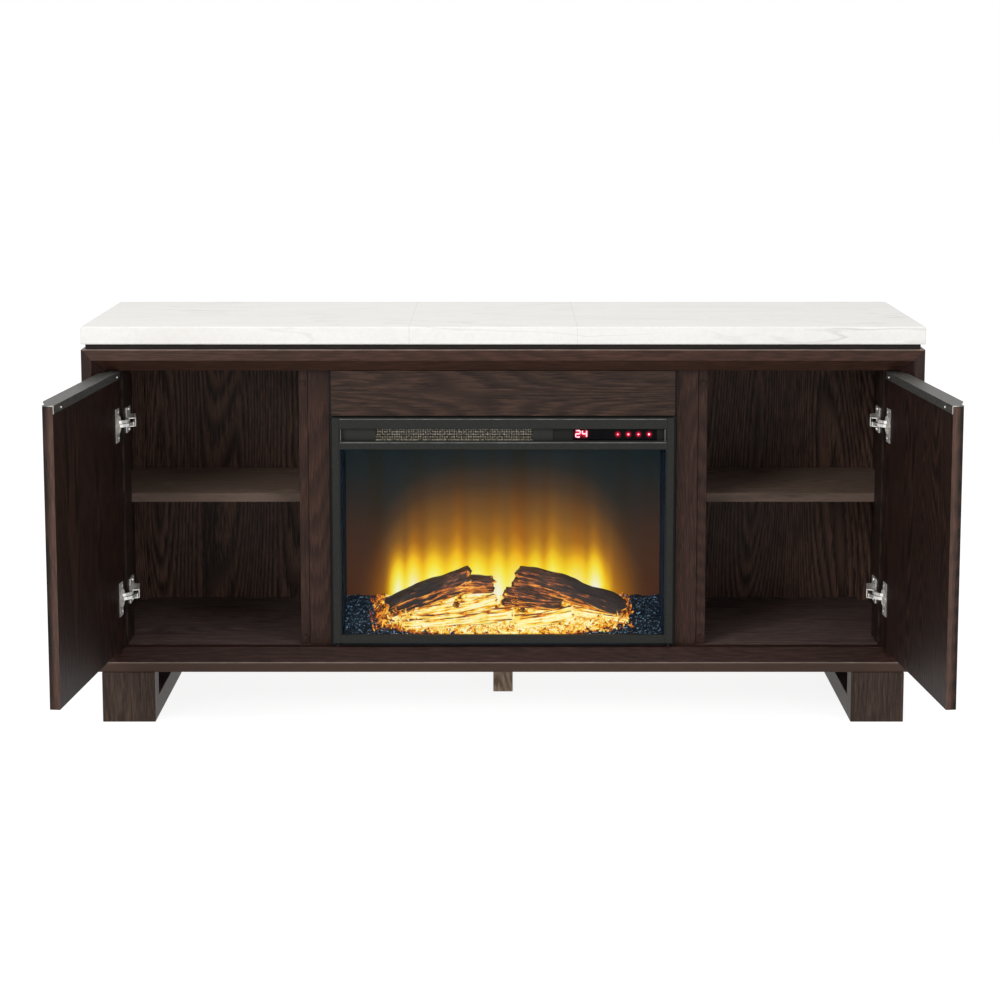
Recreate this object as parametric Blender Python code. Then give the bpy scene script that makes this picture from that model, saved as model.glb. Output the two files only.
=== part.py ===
# Fireplace sideboard: marble-topped oak cabinet with two hinged doors and an electric fireplace insert.
# Metres, +Z up. The front faces -Y, +X is to the right seen from the front.
# The origin is on the floor under the middle of the plan, on the underside of the centre foot.
import math
import random

import bmesh
import bpy
from mathutils import Matrix, Vector

# Overall sizes
BODY_WIDTH = 1.524
BODY_DEPTH = 0.406
LEG_HEIGHT = 0.094
CARCASS_HEIGHT = 0.598
SUB_TOP_HEIGHT = 0.010
SUB_TOP_INSET = 0.008
TOP_THICK = 0.032
TOP_ARRIS = 0.0015

# Gap left between two pieces that touch, and how far a cutter runs past a face
SEAT = 0.0003
CUT = 0.001

# Front frame, a mitred moulding: an outer slope, a ridge and a deep inner slope
OUTER_SLOPE_WIDTH = 0.0195
OUTER_SLOPE_DEPTH = 0.006
FRAME_FACE = 0.041
INNER_SLOPE_DEPTH = 0.027
FRAME_THICK = 0.0447

# Carcass boards
SIDE_THICK = 0.025
TOP_PANEL_THICK = 0.025
BOTTOM_THICK = 0.041
POST_WIDTH = 0.042
POST_DEPTH = 0.068
STILE_WIDTH = 0.040
STILE_THICK = 0.020
STILE_GAP = 0.004
DIVIDER_THICK = 0.017
DIVIDER_SETBACK = 0.003
BACK_THICK = 0.006
BACK_RECESS = 0.008
BATTEN_WIDTH = 0.024
BATTEN_DEPTH = 0.020

# Fascia above the fireplace
FASCIA_END_GAP = 0.0035
FASCIA_BOTTOM_GAP = 0.0037
FASCIA_THICK = 0.018

# Shelves
SHELF_ABOVE_FLOOR = 0.271
SHELF_THICK = 0.017
SHELF_FRONT_DEPTH = 0.116
SHELF_BACK_GAP = 0.004
SHELF_END_GAP = 0.001
PIN_RADIUS = 0.0025
PIN_LENGTH = 0.010
PIN_DEPTH_IN_SIDE = 0.008
PIN_INSET = 0.045

# Doors
DOOR_THICK = 0.018
DOOR_MEETING_GAP = 0.0055
DOOR_OUTER_DEPTH = 0.025
DOOR_SIDE_GAP = 0.0025
DOOR_BOTTOM_GAP = 0.002
DOOR_TOP_GAP = 0.004
DOOR_OPEN_ANGLE = math.radians(95.5)
AXIS_FROM_DOOR_EDGE = 0.0075
AXIS_BEHIND_OUTER_FACE = 0.005
BUMPER_RADIUS = 0.004
BUMPER_FROM_BOTTOM = 0.012
BUMPER_FROM_TOP = 0.022
BUMPER_ROOT = 0.002

# Edge pulls on the door tops
PULL_PLATE = 0.0019
PULL_LIP = 0.012
PULL_FLANGE_HEIGHT = 0.014
PULL_FLANGE_THICK = 0.0012
PULL_FLANGE_RELIEF = 0.008
PULL_SLANT_START = 0.015
PULL_SLANT_END = 0.045

# Concealed cup hinges
HINGE_FROM_BOTTOM = 0.093
HINGE_FROM_TOP = 0.095
CUP_RADIUS = 0.0173
CUP_BORE_RADIUS = 0.0176
CUP_BORE_DEPTH = 0.0120
CUP_WALL = 0.0008
CUP_FROM_EDGE = 0.0202
CHEEK_SPAN = (0.008, 0.030)
CHEEK_THICK = 0.0010
CHEEK_PLAY = 0.0004
CHEEK_BELOW_FACE = 0.0010
FLANGE_HEIGHT = 0.062
FLANGE_WIDTH = 0.022
FLANGE_FROM_EDGE = 0.0155
FLANGE_THICK = 0.0009
ARM_HEIGHT = 0.0164
ARM_SHEET = 0.0014
ARM_BODY_WIDTH = 0.0115
ARM_LENGTH = 0.052
ARM_NOSE = 0.0032
ARM_BACK_ROOM = 0.0048
ARM_WAIST = 0.024
PLATE_THICK = 0.0025
PLATE_HEIGHT = 0.046
PLATE_LENGTH = 0.036
PLATE_SETBACK = 0.022
LINK_THICK = 0.0022
LINK_PIN_RADIUS = 0.0013
LINK_PIN_PLAY = 0.0003
LINK_EYE_RADIUS = 0.0019
LINK_BAND = (0.0004, 0.0060)
# Link routes with the door closed, as (distance from the door edge, distance behind the outer face)
OUTER_LINK_ROUTE = ((0.0325, 0.025), (0.0267, 0.016), (0.0134, 0.0119), (0.0084, 0.0129))
INNER_LINK_ROUTE = ((0.0405, 0.028), (0.0267, 0.016), (0.0151, 0.013), (0.0101, 0.014))
OUTER_LINK_SWING = math.radians(33.0)
INNER_LINK_SWING = math.radians(29.0)

# Sled legs and centre foot
SLED_WIDTH = 0.097
SLED_OUTER_INSET = 0.025
SLED_FRONT_INSET = 0.004
SLED_POST_DEPTH = 0.043
SLED_RAIL_HEIGHT = 0.039
FOOT_WIDTH = 0.0375
FOOT_DEPTH = 0.0375
FOOT_FRONT_DEPTH = 0.193

# Electric fireplace insert
INSERT_HALF_WIDTH = 0.313
INSERT_BOTTOM_GAP = 0.007
INSERT_HEIGHT = 0.422
TRIM_DEPTH = 0.009
TRIM_BORDER = 0.016
TOP_BAND = 0.021
CHANNEL_BAR = 0.016
CHANNEL_HEIGHT = 0.022
CHANNEL_LAP = 0.004
GLASS_THICK = 0.004
GLASS_LIFT = 0.011
CASING_INSET = 0.008
CASING_DEPTH = 0.150
CASING_SHEET = 0.0015
CASING_TOP_INSET = 0.0057
CASING_VENTS = 14
VENT_PITCH = 0.020
VENT_WIDTH = 0.006
VENT_HEIGHT = 0.024
VENT_FROM_TOP = 0.010
GRILLE_X = (-0.233, 0.055)
GRILLE_SLOTS = 36
GRILLE_ROWS = 2
GRILLE_BAR = 0.0028
GRILLE_THICK = 0.003
CONTROL_X = (0.128, 0.281)
CONTROL_THICK = 0.003
CONTROL_RAISE = 0.0012
BOARD_THICK = 0.0016
LINER_THICK = 0.009
LINER_DEPTH = 0.080
LINER_HEADROOM = 0.003
SCREEN_THICK = 0.003
EMBER_LIFT = 0.001
EMBER_RISE = 0.054
EMBER_GRAIN = 0.004
EMBER_COLUMNS = 60
EMBER_ROWS = 9
LOG_BASE = 0.0025
LOG_BASE_INSET = 0.010
HEATER_X = (-0.250, 0.070)
HEATER_DEPTH = 0.085
HEATER_WALL = 0.003
BLOWER_RADIUS = 0.0165
BLOWER_PLAY = 0.002
BLOWER_BLADES = 18
BLOWER_BLADE = 0.0010
BLOWER_ROOT_RADIUS = 0.0119
BLOWER_LEAN = 0.35
SHAFT_RADIUS = 0.002
MOTOR_RADIUS = 0.016
MOTOR_LENGTH = 0.030
ROTOR_RADIUS = 0.014
ROTOR_FROM_WALL = 0.0632
ROTOR_VANES = 24
ROTOR_VANE_THICK = 0.0012
ROTOR_VANE_GAP = 0.004
ROTOR_TWIST = math.pi / 7
ROTOR_SPINDLE = 0.0021
ROTOR_ABOVE_FLOOR = 0.0797
ROTOR_END_PLAY = 0.004
ROTOR_BRACKET = 0.003
ROTOR_BRACKET_WIDTH = 0.020
ROTOR_BRACKET_HEIGHT = 0.036
ROTOR_MOTOR_RADIUS = 0.0128
ROTOR_MOTOR_LENGTH = 0.021
LED_HEIGHT = 0.004
LED_DEPTH = 0.014
LED_COUNT = 12
LED_SIZE = 0.005
LED_FROM_SCREEN = 0.004
INLET_WIDTH = 0.030
INLET_HEIGHT = 0.022
INLET_DEPTH = 0.014
INLET_FROM_END = 0.050
INLET_ABOVE_FLOOR = 0.035
INLET_RIM = 0.004
INLET_RIM_THICK = 0.0022
INLET_WALL = 0.003
INLET_SOCKET_DEPTH = 0.008

# Logs: start and end as shares of the fire's half width, its depth and the bed's rise, then the radius
LOGS = (
    ((-0.755, 0.688, 0.907), (-0.088, 0.775, 1.704), 0.015),
    ((0.075, 0.750, 1.741), (0.816, 0.650, 0.519), 0.015),
    ((-0.619, 0.325, 0.241), (0.034, 0.500, 1.037), 0.011),
    ((-0.442, 0.250, 0.185), (0.000, 0.750, 0.593), 0.009),
    ((0.010, 0.250, 0.870), (0.102, 0.850, 1.185), 0.013),
    ((0.204, 0.275, 0.259), (0.578, 0.625, 0.778), 0.010),
    ((-0.863, 0.350, 0.222), (-0.697, 0.625, 0.630), 0.011),
    ((0.612, 0.300, 0.185), (0.857, 0.550, 0.370), 0.010),
)
LOG_UNDERCUT = 0.05

FRONT = -BODY_DEPTH / 2
CARCASS_TOP = LEG_HEIGHT + CARCASS_HEIGHT
TOP_UNDERSIDE = CARCASS_TOP + SUB_TOP_HEIGHT
FLOOR_Z = LEG_HEIGHT + BOTTOM_THICK
CEILING_Z = CARCASS_TOP - TOP_PANEL_THICK
OPENING_TOP = CARCASS_TOP - FRAME_FACE
OPENING_BOTTOM = LEG_HEIGHT + FRAME_FACE
OPENING_HALF = BODY_WIDTH / 2 - FRAME_FACE
SIDE_INNER = BODY_WIDTH / 2 - SIDE_THICK
CARCASS_FRONT = FRONT + FRAME_THICK + SEAT
CARCASS_BACK = FRONT + BODY_DEPTH
BACK_INNER = CARCASS_BACK - BACK_RECESS - BACK_THICK
SHELF_TOP_Z = FLOOR_Z + SHELF_ABOVE_FLOOR
INSERT_BOTTOM_Z = OPENING_BOTTOM + INSERT_BOTTOM_GAP
INSERT_TOP_Z = INSERT_BOTTOM_Z + INSERT_HEIGHT
STILE_INNER_X = INSERT_HALF_WIDTH + STILE_GAP
DIVIDER_INNER = STILE_INNER_X + STILE_WIDTH + SEAT
DIVIDER_OUTER = DIVIDER_INNER + DIVIDER_THICK
DOOR_EDGE = OPENING_HALF - DOOR_SIDE_GAP
DOOR_BOTTOM = OPENING_BOTTOM + DOOR_BOTTOM_GAP
DOOR_TOP = OPENING_TOP - DOOR_TOP_GAP
DOOR_OUTER_Y = FRONT + DOOR_OUTER_DEPTH
DOOR_WIDTH = DOOR_EDGE - INSERT_HALF_WIDTH - DOOR_MEETING_GAP
HINGE_HEIGHTS = (DOOR_BOTTOM + HINGE_FROM_BOTTOM, DOOR_TOP - HINGE_FROM_TOP)


def linear(value):
    """One sRGB channel from 0 to 255 as a linear value."""
    share = value / 255
    return share / 12.92 if share <= 0.04045 else ((share + 0.055) / 1.055) ** 2.4


def material(name, colour, roughness, metallic=0.0):
    """A Principled material from an sRGB colour; a second call with the same name returns the first one."""
    found = bpy.data.materials.get(name)
    if found:
        return found
    made = bpy.data.materials.new(name)
    made.use_nodes = True
    shader = made.node_tree.nodes["Principled BSDF"]
    shader.inputs["Base Color"].default_value = (*(linear(c) for c in colour), 1)
    shader.inputs["Roughness"].default_value = roughness
    shader.inputs["Metallic"].default_value = metallic
    return made


def dark_oak():
    return material("espresso_oak", (58, 43, 36), 0.45)


def black_steel():
    return material("black_steel", (28, 28, 30), 0.5, 0.6)


def nickel():
    return material("nickel_plated_steel", (190, 188, 184), 0.3, 1.0)


def block(shape, low, high):
    """Adds a box between two corners to a bmesh."""
    size = Vector(high) - Vector(low)
    middle = (Vector(high) + Vector(low)) / 2
    place = Matrix.Translation(middle) @ Matrix.Diagonal((*size, 1))
    bmesh.ops.create_cube(shape, size=1, matrix=place)


def prism(shape, outline, axis, low, high):
    """Adds an outline of (y, z), (x, z) or (x, y) points, extruded along x, y or z from low to high."""
    at = "xyz".index(axis)
    rims = []
    for level in (low, high):
        rim = []
        for first, second in outline:
            point = [first, second]
            point.insert(at, level)
            rim.append(shape.verts.new(point))
        rims.append(rim)
    faces = [shape.faces.new(rims[0]), shape.faces.new(rims[1])]
    for i in range(len(outline)):
        j = (i + 1) % len(outline)
        faces.append(shape.faces.new((rims[0][i], rims[0][j], rims[1][j], rims[1][i])))
    bmesh.ops.recalc_face_normals(shape, faces=faces)


def circle(centre, radius, sides, start=0.0):
    """Points round a circle in a plane."""
    steps = [start + 2 * math.pi * i / sides for i in range(sides)]
    return [(centre[0] + radius * math.cos(a), centre[1] + radius * math.sin(a)) for a in steps]


def rod(shape, centre, radius, axis, low, high, sides=24):
    prism(shape, circle(centre, radius, sides), axis, low, high)


def strip(route, thick):
    """Outline of a flat strip of even thickness that follows a route of points, with square ends."""
    left, right = [], []
    for i, point in enumerate(route):
        before = Vector(route[max(i - 1, 0)])
        after = Vector(route[min(i + 1, len(route) - 1)])
        here = Vector(point)
        into = (here - before).normalized() if i else (after - here).normalized()
        out = (after - here).normalized() if i < len(route) - 1 else into
        normal = Vector((-(into + out).y, (into + out).x)).normalized()
        reach = thick / 2 / max(0.5, normal.dot(Vector((-into.y, into.x))))
        left.append(tuple(here + normal * reach))
        right.append(tuple(here - normal * reach))
    return left + right[::-1]


def solid(name, shape, finish, round_piece=False, parent=None):
    """Makes the named object from a bmesh, and gives it its finish."""
    bmesh.ops.recalc_face_normals(shape, faces=shape.faces)
    mesh = bpy.data.meshes.new(name)
    shape.to_mesh(mesh)
    shape.free()
    if finish:
        mesh.materials.append(finish)
    if round_piece:
        mesh.shade_smooth()
        mesh.set_sharp_from_angle(angle=math.radians(35))
    made = bpy.data.objects.new(name, mesh)
    bpy.context.scene.collection.objects.link(made)
    made.parent = parent
    return made


def boolean(target, shape, name, operation="DIFFERENCE"):
    """Cuts or joins a bmesh to an object with an exact Boolean; the tool's own object is never rendered."""
    tool = solid(name, shape, None, parent=target.parent)
    tool.hide_render = True
    tool.display_type = "WIRE"
    step = target.modifiers.new(name, "BOOLEAN")
    step.object = tool
    step.operation = operation
    step.solver = "EXACT"
    return target


def soften(target, width, segments=1):
    """Breaks the sharp edges of a board."""
    step = target.modifiers.new("softened_edges", "BEVEL")
    step.width = width
    step.segments = segments
    step.limit_method = "ANGLE"
    step.angle_limit = math.radians(30)
    return target


def board(name, low, high, finish, soft=0.0006):
    """A flat board with slightly softened edges."""
    shape = bmesh.new()
    block(shape, low, high)
    return soften(solid(name, shape, finish), soft)


def both_sides():
    return (("left", -1), ("right", 1))


def mirrored(low, high, side):
    """Corners given for the right-hand side, moved to the asked side."""
    if side > 0:
        return low, high
    return (-high[0], low[1], low[2]), (-low[0], high[1], high[2])


# Top


def build_top():
    marble = material("white_marble", (238, 236, 231), 0.25)
    half = BODY_WIDTH / 2
    low = (-half, FRONT, TOP_UNDERSIDE)
    high = (half, CARCASS_BACK, TOP_UNDERSIDE + TOP_THICK)
    board("marble_top", low, high, marble, TOP_ARRIS)
    inset = SUB_TOP_INSET
    low = (-half + inset, FRONT + inset, CARCASS_TOP + SEAT)
    high = (half - inset, CARCASS_BACK - inset, TOP_UNDERSIDE - SEAT)
    board("sub_top", low, high, dark_oak())


# Carcass


def build_carcass():
    wood = dark_oak()
    for word, side in both_sides():
        low = (SIDE_INNER, CARCASS_FRONT, LEG_HEIGHT)
        high = (BODY_WIDTH / 2, CARCASS_BACK, CARCASS_TOP)
        panel = board(f"{word}_side_panel", *mirrored(low, high, side), wood)
        boolean(panel, shelf_pins(side, SIDE_INNER, -1), f"{word}_side_pins", "UNION")

        low = (DIVIDER_INNER, CARCASS_FRONT + DIVIDER_SETBACK, FLOOR_Z + SEAT)
        high = (DIVIDER_OUTER, BACK_INNER - SEAT, CEILING_Z - SEAT)
        divider = board(f"{word}_divider", *mirrored(low, high, side), wood)
        boolean(divider, shelf_pins(side, DIVIDER_OUTER, 1), f"{word}_divider_pins", "UNION")
        boolean(divider, bumpers(side), f"{word}_door_bumpers", "UNION")

        low = (DIVIDER_INNER, BACK_INNER, FLOOR_Z + SEAT)
        high = (SIDE_INNER - SEAT, BACK_INNER + BACK_THICK, CEILING_Z - SEAT)
        back = board(f"{word}_back_panel", *mirrored(low, high, side), wood, 0.0003)
        low = (SIDE_INNER - SEAT - BATTEN_WIDTH, BACK_INNER - BATTEN_DEPTH, FLOOR_Z + SEAT)
        high = (SIDE_INNER - SEAT, BACK_INNER + BACK_THICK / 2, CEILING_Z - SEAT)
        batten = bmesh.new()
        block(batten, *mirrored(low, high, side))
        boolean(back, batten, f"{word}_corner_batten", "UNION")

        low = (SIDE_INNER - SEAT - POST_WIDTH, CARCASS_FRONT, FLOOR_Z + SEAT)
        high = (SIDE_INNER - SEAT, CARCASS_FRONT + POST_DEPTH, CEILING_Z - SEAT)
        board(f"{word}_hinge_post", *mirrored(low, high, side), wood)

        low = (STILE_INNER_X, CARCASS_FRONT, FLOOR_Z + SEAT)
        high = (STILE_INNER_X + STILE_WIDTH, CARCASS_FRONT + STILE_THICK, CEILING_Z - SEAT)
        board(f"{word}_stile", *mirrored(low, high, side), wood)

    inner = SIDE_INNER - SEAT
    low = (-inner, CARCASS_FRONT, CEILING_Z)
    board("top_panel", low, (inner, CARCASS_BACK, CARCASS_TOP), wood)
    low = (-inner, CARCASS_FRONT, LEG_HEIGHT)
    board("bottom_panel", low, (inner, CARCASS_BACK, FLOOR_Z), wood)

    half = STILE_INNER_X - FASCIA_END_GAP
    low = (-half, DOOR_OUTER_Y, INSERT_TOP_Z + FASCIA_BOTTOM_GAP)
    high = (half, DOOR_OUTER_Y + FASCIA_THICK, OPENING_TOP - SEAT)
    board("fascia_panel", low, high, wood)


# Front frame: one moulding, mitred at the corners


def frame_profile():
    """(distance in from the outer edge, depth behind the ridge) round the moulding."""
    return (
        (0.0, OUTER_SLOPE_DEPTH),
        (OUTER_SLOPE_WIDTH, 0.0),
        (FRAME_FACE, INNER_SLOPE_DEPTH),
        (FRAME_FACE, FRAME_THICK),
        (0.0, FRAME_THICK),
    )


def mitred_rail(name, place):
    """A rail between two mitres: place gives the two end points of each line along the moulding."""
    shape = bmesh.new()
    starts, ends = [], []
    for inward, depth in frame_profile():
        start, end = place(inward)
        starts.append(shape.verts.new((start[0], FRONT + depth, start[1])))
        ends.append(shape.verts.new((end[0], FRONT + depth, end[1])))
    shape.faces.new(starts)
    shape.faces.new(ends)
    count = len(starts)
    for i in range(count):
        j = (i + 1) % count
        shape.faces.new((starts[i], starts[j], ends[j], ends[i]))
    return solid(name, shape, dark_oak())


def build_frame():
    half = BODY_WIDTH / 2

    def across(z_edge, inward_sign):
        def place(inward):
            z = z_edge + inward_sign * inward
            reach = half - inward - SEAT
            return (-reach, z), (reach, z)

        return place

    def upright(side):
        def place(inward):
            x = side * (half - inward)
            return (x, LEG_HEIGHT + inward + SEAT), (x, CARCASS_TOP - inward - SEAT)

        return place

    mitred_rail("frame_top", across(CARCASS_TOP, -1))
    mitred_rail("frame_bottom", across(LEG_HEIGHT, 1))
    for word, side in both_sides():
        mitred_rail(f"frame_{word}", upright(side))


# Shelves on pins


def shelf_back():
    return BACK_INNER - BATTEN_DEPTH - SHELF_BACK_GAP


def shelf_pins(side, face_x, inward):
    """The pins under one end of a shelf; inward is 1 on a divider and -1 on a side panel."""
    shape = bmesh.new()
    z = SHELF_TOP_Z - SHELF_THICK - SEAT - PIN_RADIUS
    for y in (FRONT + SHELF_FRONT_DEPTH + PIN_INSET, shelf_back() - PIN_INSET):
        inside = side * (face_x - inward * PIN_DEPTH_IN_SIDE)
        tip = side * (face_x + inward * PIN_LENGTH)
        rod(shape, (y, z), PIN_RADIUS, "x", min(inside, tip), max(inside, tip), 12)
    return shape


def bumpers(side):
    """Clear bumpers on a divider's front edge, which the closed door lands on."""
    shape = bmesh.new()
    back = CARCASS_FRONT + DIVIDER_SETBACK + BUMPER_ROOT
    front = DOOR_OUTER_Y + DOOR_THICK + SEAT
    x = side * (DIVIDER_INNER + DIVIDER_OUTER) / 2
    for z in (DOOR_BOTTOM + BUMPER_FROM_BOTTOM, DOOR_TOP - BUMPER_FROM_TOP):
        rod(shape, (x, z), BUMPER_RADIUS, "y", front, back, 16)
    return shape


def build_shelves():
    for word, side in both_sides():
        low = (DIVIDER_OUTER + SHELF_END_GAP, FRONT + SHELF_FRONT_DEPTH, SHELF_TOP_Z - SHELF_THICK)
        high = (SIDE_INNER - SHELF_END_GAP, shelf_back(), SHELF_TOP_Z)
        board(f"{word}_shelf", *mirrored(low, high, side), dark_oak(), 0.0008)


# Sled legs and centre foot


def build_legs():
    wood = dark_oak()
    top = LEG_HEIGHT - SEAT
    front = FRONT + SLED_FRONT_INSET
    back = CARCASS_BACK - SLED_FRONT_INSET
    post = SLED_POST_DEPTH
    outline = (
        (front, 0.0),
        (back, 0.0),
        (back, top),
        (back - post, top),
        (back - post, SLED_RAIL_HEIGHT),
        (front + post, SLED_RAIL_HEIGHT),
        (front + post, top),
        (front, top),
    )
    outer = BODY_WIDTH / 2 - SLED_OUTER_INSET
    for word, side in both_sides():
        shape = bmesh.new()
        ends = sorted((side * outer, side * (outer - SLED_WIDTH)))
        prism(shape, outline, "x", *ends)
        soften(solid(f"{word}_sled_leg", shape, wood), 0.0008)
    low = (-FOOT_WIDTH / 2, FRONT + FOOT_FRONT_DEPTH, 0.0)
    high = (FOOT_WIDTH / 2, FRONT + FOOT_FRONT_DEPTH + FOOT_DEPTH, top)
    board("centre_foot", low, high, material("oak_foot", (110, 92, 80), 0.5), 0.0008)


# Doors, pulls and hinges


def closed_point(side, from_edge, depth):
    """World (x, y) of a point given with the door closed, from its hinge edge and behind its outer face."""
    return side * (DOOR_EDGE - from_edge), DOOR_OUTER_Y + depth


def pivot(name, side, from_edge, depth, turn):
    """An empty on a vertical axis, turned from the closed pose to the pose at rest."""
    axis = bpy.data.objects.new(name, None)
    bpy.context.scene.collection.objects.link(axis)
    x, y = closed_point(side, from_edge, depth)
    axis.location = (x, y, 0)
    axis.rotation_euler = (0, 0, turn)
    return axis


def local(side, centre, point):
    """A closed-door point, as (x, y) from a pivot at another closed-door point."""
    return -side * (point[0] - centre[0]), point[1] - centre[1]


def build_doors():
    wood = dark_oak()
    metal = material("graphite_pull", (52, 53, 56), 0.35, 0.8)
    centre = (AXIS_FROM_DOOR_EDGE, AXIS_BEHIND_OUTER_FACE)
    for word, side in both_sides():
        axis = pivot(f"{word}_door_axis", side, *centre, side * DOOR_OPEN_ANGLE)

        def corners(start, end, z_low, z_high, side=side):
            one = local(side, centre, start)
            two = local(side, centre, end)
            low = (min(one[0], two[0]), min(one[1], two[1]), z_low)
            high = (max(one[0], two[0]), max(one[1], two[1]), z_high)
            return low, high

        shape = bmesh.new()
        block(shape, *corners((0.0, 0.0), (DOOR_WIDTH, DOOR_THICK), DOOR_BOTTOM, DOOR_TOP))
        door = soften(solid(f"{word}_door_panel", shape, wood, parent=axis), 0.0006)

        bores = bmesh.new()
        for z in HINGE_HEIGHTS:
            x, low = local(side, centre, (CUP_FROM_EDGE, DOOR_THICK - CUP_BORE_DEPTH))
            rod(bores, (x, z), CUP_BORE_RADIUS, "y", low, low + CUP_BORE_DEPTH + CUT, 32)
        boolean(door, bores, f"{word}_cup_bores")

        build_pull(word, side, centre, axis, metal)
        outer_axis = pivot(f"{word}_outer_link_axis", side, *OUTER_LINK_ROUTE[0], -side * OUTER_LINK_SWING)
        inner_axis = pivot(f"{word}_inner_link_axis", side, *INNER_LINK_ROUTE[0], -side * INNER_LINK_SWING)
        for level, z in zip(("lower", "upper"), HINGE_HEIGHTS):
            build_cup(f"{word}_{level}_hinge_cup", z, side, centre, axis)
            build_arm(f"{word}_{level}_hinge_arm", z, side)
            build_link(f"{word}_{level}_outer_link", z, side, OUTER_LINK_ROUTE, outer_axis, 1)
            build_link(f"{word}_{level}_inner_link", z, side, INNER_LINK_ROUTE, inner_axis, -1)


def build_pull(word, side, centre, axis, metal):
    """Edge pull: one folded strip over the top edge, a lip in front and a flange behind."""
    top = DOOR_TOP + SEAT + PULL_PLATE
    plate = top - PULL_PLATE
    back = DOOR_THICK + SEAT + PULL_FLANGE_THICK
    section = (
        (-PULL_LIP, plate),
        (-PULL_LIP, top),
        (back, top),
        (back, top - PULL_FLANGE_HEIGHT),
        (back - PULL_FLANGE_THICK, top - PULL_FLANGE_HEIGHT),
        (back - PULL_FLANGE_THICK, plate),
    )
    outline = [(depth - centre[1], z) for depth, z in section]
    ends = sorted(local(side, centre, (edge, 0))[0] for edge in (0.0, DOOR_WIDTH))
    shape = bmesh.new()
    prism(shape, outline, "x", *ends)
    pull = solid(f"{word}_door_pull", shape, metal, parent=axis)

    slants = bmesh.new()
    for far, slope in ((0.0, 1), (DOOR_WIDTH, -1)):
        corners = (
            (far - slope * CUT, 0.0),
            (far + slope * PULL_SLANT_START, 0.0),
            (far + slope * PULL_SLANT_END, -PULL_LIP - CUT),
            (far - slope * CUT, -PULL_LIP - CUT),
        )
        outline = [local(side, centre, corner) for corner in corners]
        prism(slants, outline, "z", plate - CUT, top + CUT)
    boolean(pull, slants, f"{word}_pull_slants")

    relief = bmesh.new()
    x_near = local(side, centre, (-CUT, 0))[0]
    x_far, y = local(side, centre, (PULL_FLANGE_RELIEF, DOOR_THICK))
    low = (min(x_near, x_far), y, top - PULL_FLANGE_HEIGHT - CUT)
    block(relief, low, (max(x_near, x_far), back - centre[1] + CUT, top + CUT))
    boolean(pull, relief, f"{word}_pull_relief")


def build_cup(name, z, side, centre, axis):
    """Hinge cup: a drawn cup in the door's bore, with a flange on the door's face and two cheeks inside."""
    face = DOOR_THICK + SEAT - centre[1]
    x = local(side, centre, (CUP_FROM_EDGE, 0))[0]
    near = local(side, centre, (FLANGE_FROM_EDGE, 0))[0]
    far = local(side, centre, (FLANGE_FROM_EDGE + FLANGE_WIDTH, 0))[0]
    shape = bmesh.new()
    low = (min(near, far), face, z - FLANGE_HEIGHT / 2)
    block(shape, low, (max(near, far), face + FLANGE_THICK, z + FLANGE_HEIGHT / 2))
    cup = solid(name, shape, nickel(), True, axis)
    floor = DOOR_THICK - CUP_BORE_DEPTH + SEAT - centre[1]
    wall = bmesh.new()
    rod(wall, (x, z), CUP_RADIUS, "y", floor, face + FLANGE_THICK, 32)
    boolean(cup, wall, f"{name}_wall", "UNION")
    hollow = bmesh.new()
    rod(hollow, (x, z), CUP_RADIUS - CUP_WALL, "y", floor + CUP_WALL, face + FLANGE_THICK + CUT, 32)
    boolean(cup, hollow, f"{name}_hollow")

    cheeks = bmesh.new()
    ends = sorted(local(side, centre, (edge, 0))[0] for edge in CHEEK_SPAN)
    for way in (-1, 1):
        inner = z + way * (LINK_BAND[1] + CHEEK_PLAY)
        outer = inner + way * CHEEK_THICK
        low = (ends[0], floor + CUP_WALL / 2, min(inner, outer))
        block(cheeks, low, (ends[1], face - SEAT - CHEEK_BELOW_FACE, max(inner, outer)))
    boolean(cup, cheeks, f"{name}_cheeks", "UNION")


def build_link(name, z, side, route, axis, upward):
    """A hinge link. It turns on its pin in the arm, and its far end lies free in the cup."""
    points = [local(side, route[0], point) for point in route]
    near, far, end = (upward * h for h in (*LINK_BAND, ARM_HEIGHT / 2))
    shape = bmesh.new()
    prism(shape, strip(points, LINK_THICK), "z", z + min(near, far), z + max(near, far))
    link = solid(name, shape, nickel(), True, axis)
    eye = bmesh.new()
    rod(eye, points[0], LINK_EYE_RADIUS, "z", z + min(near, far), z + max(near, far), 16)
    boolean(link, eye, f"{name}_eye", "UNION")
    pin = bmesh.new()
    rod(pin, points[0], LINK_PIN_RADIUS, "z", z + min(near, end), z + max(near, end), 12)
    boolean(link, pin, f"{name}_pin", "UNION")


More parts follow.
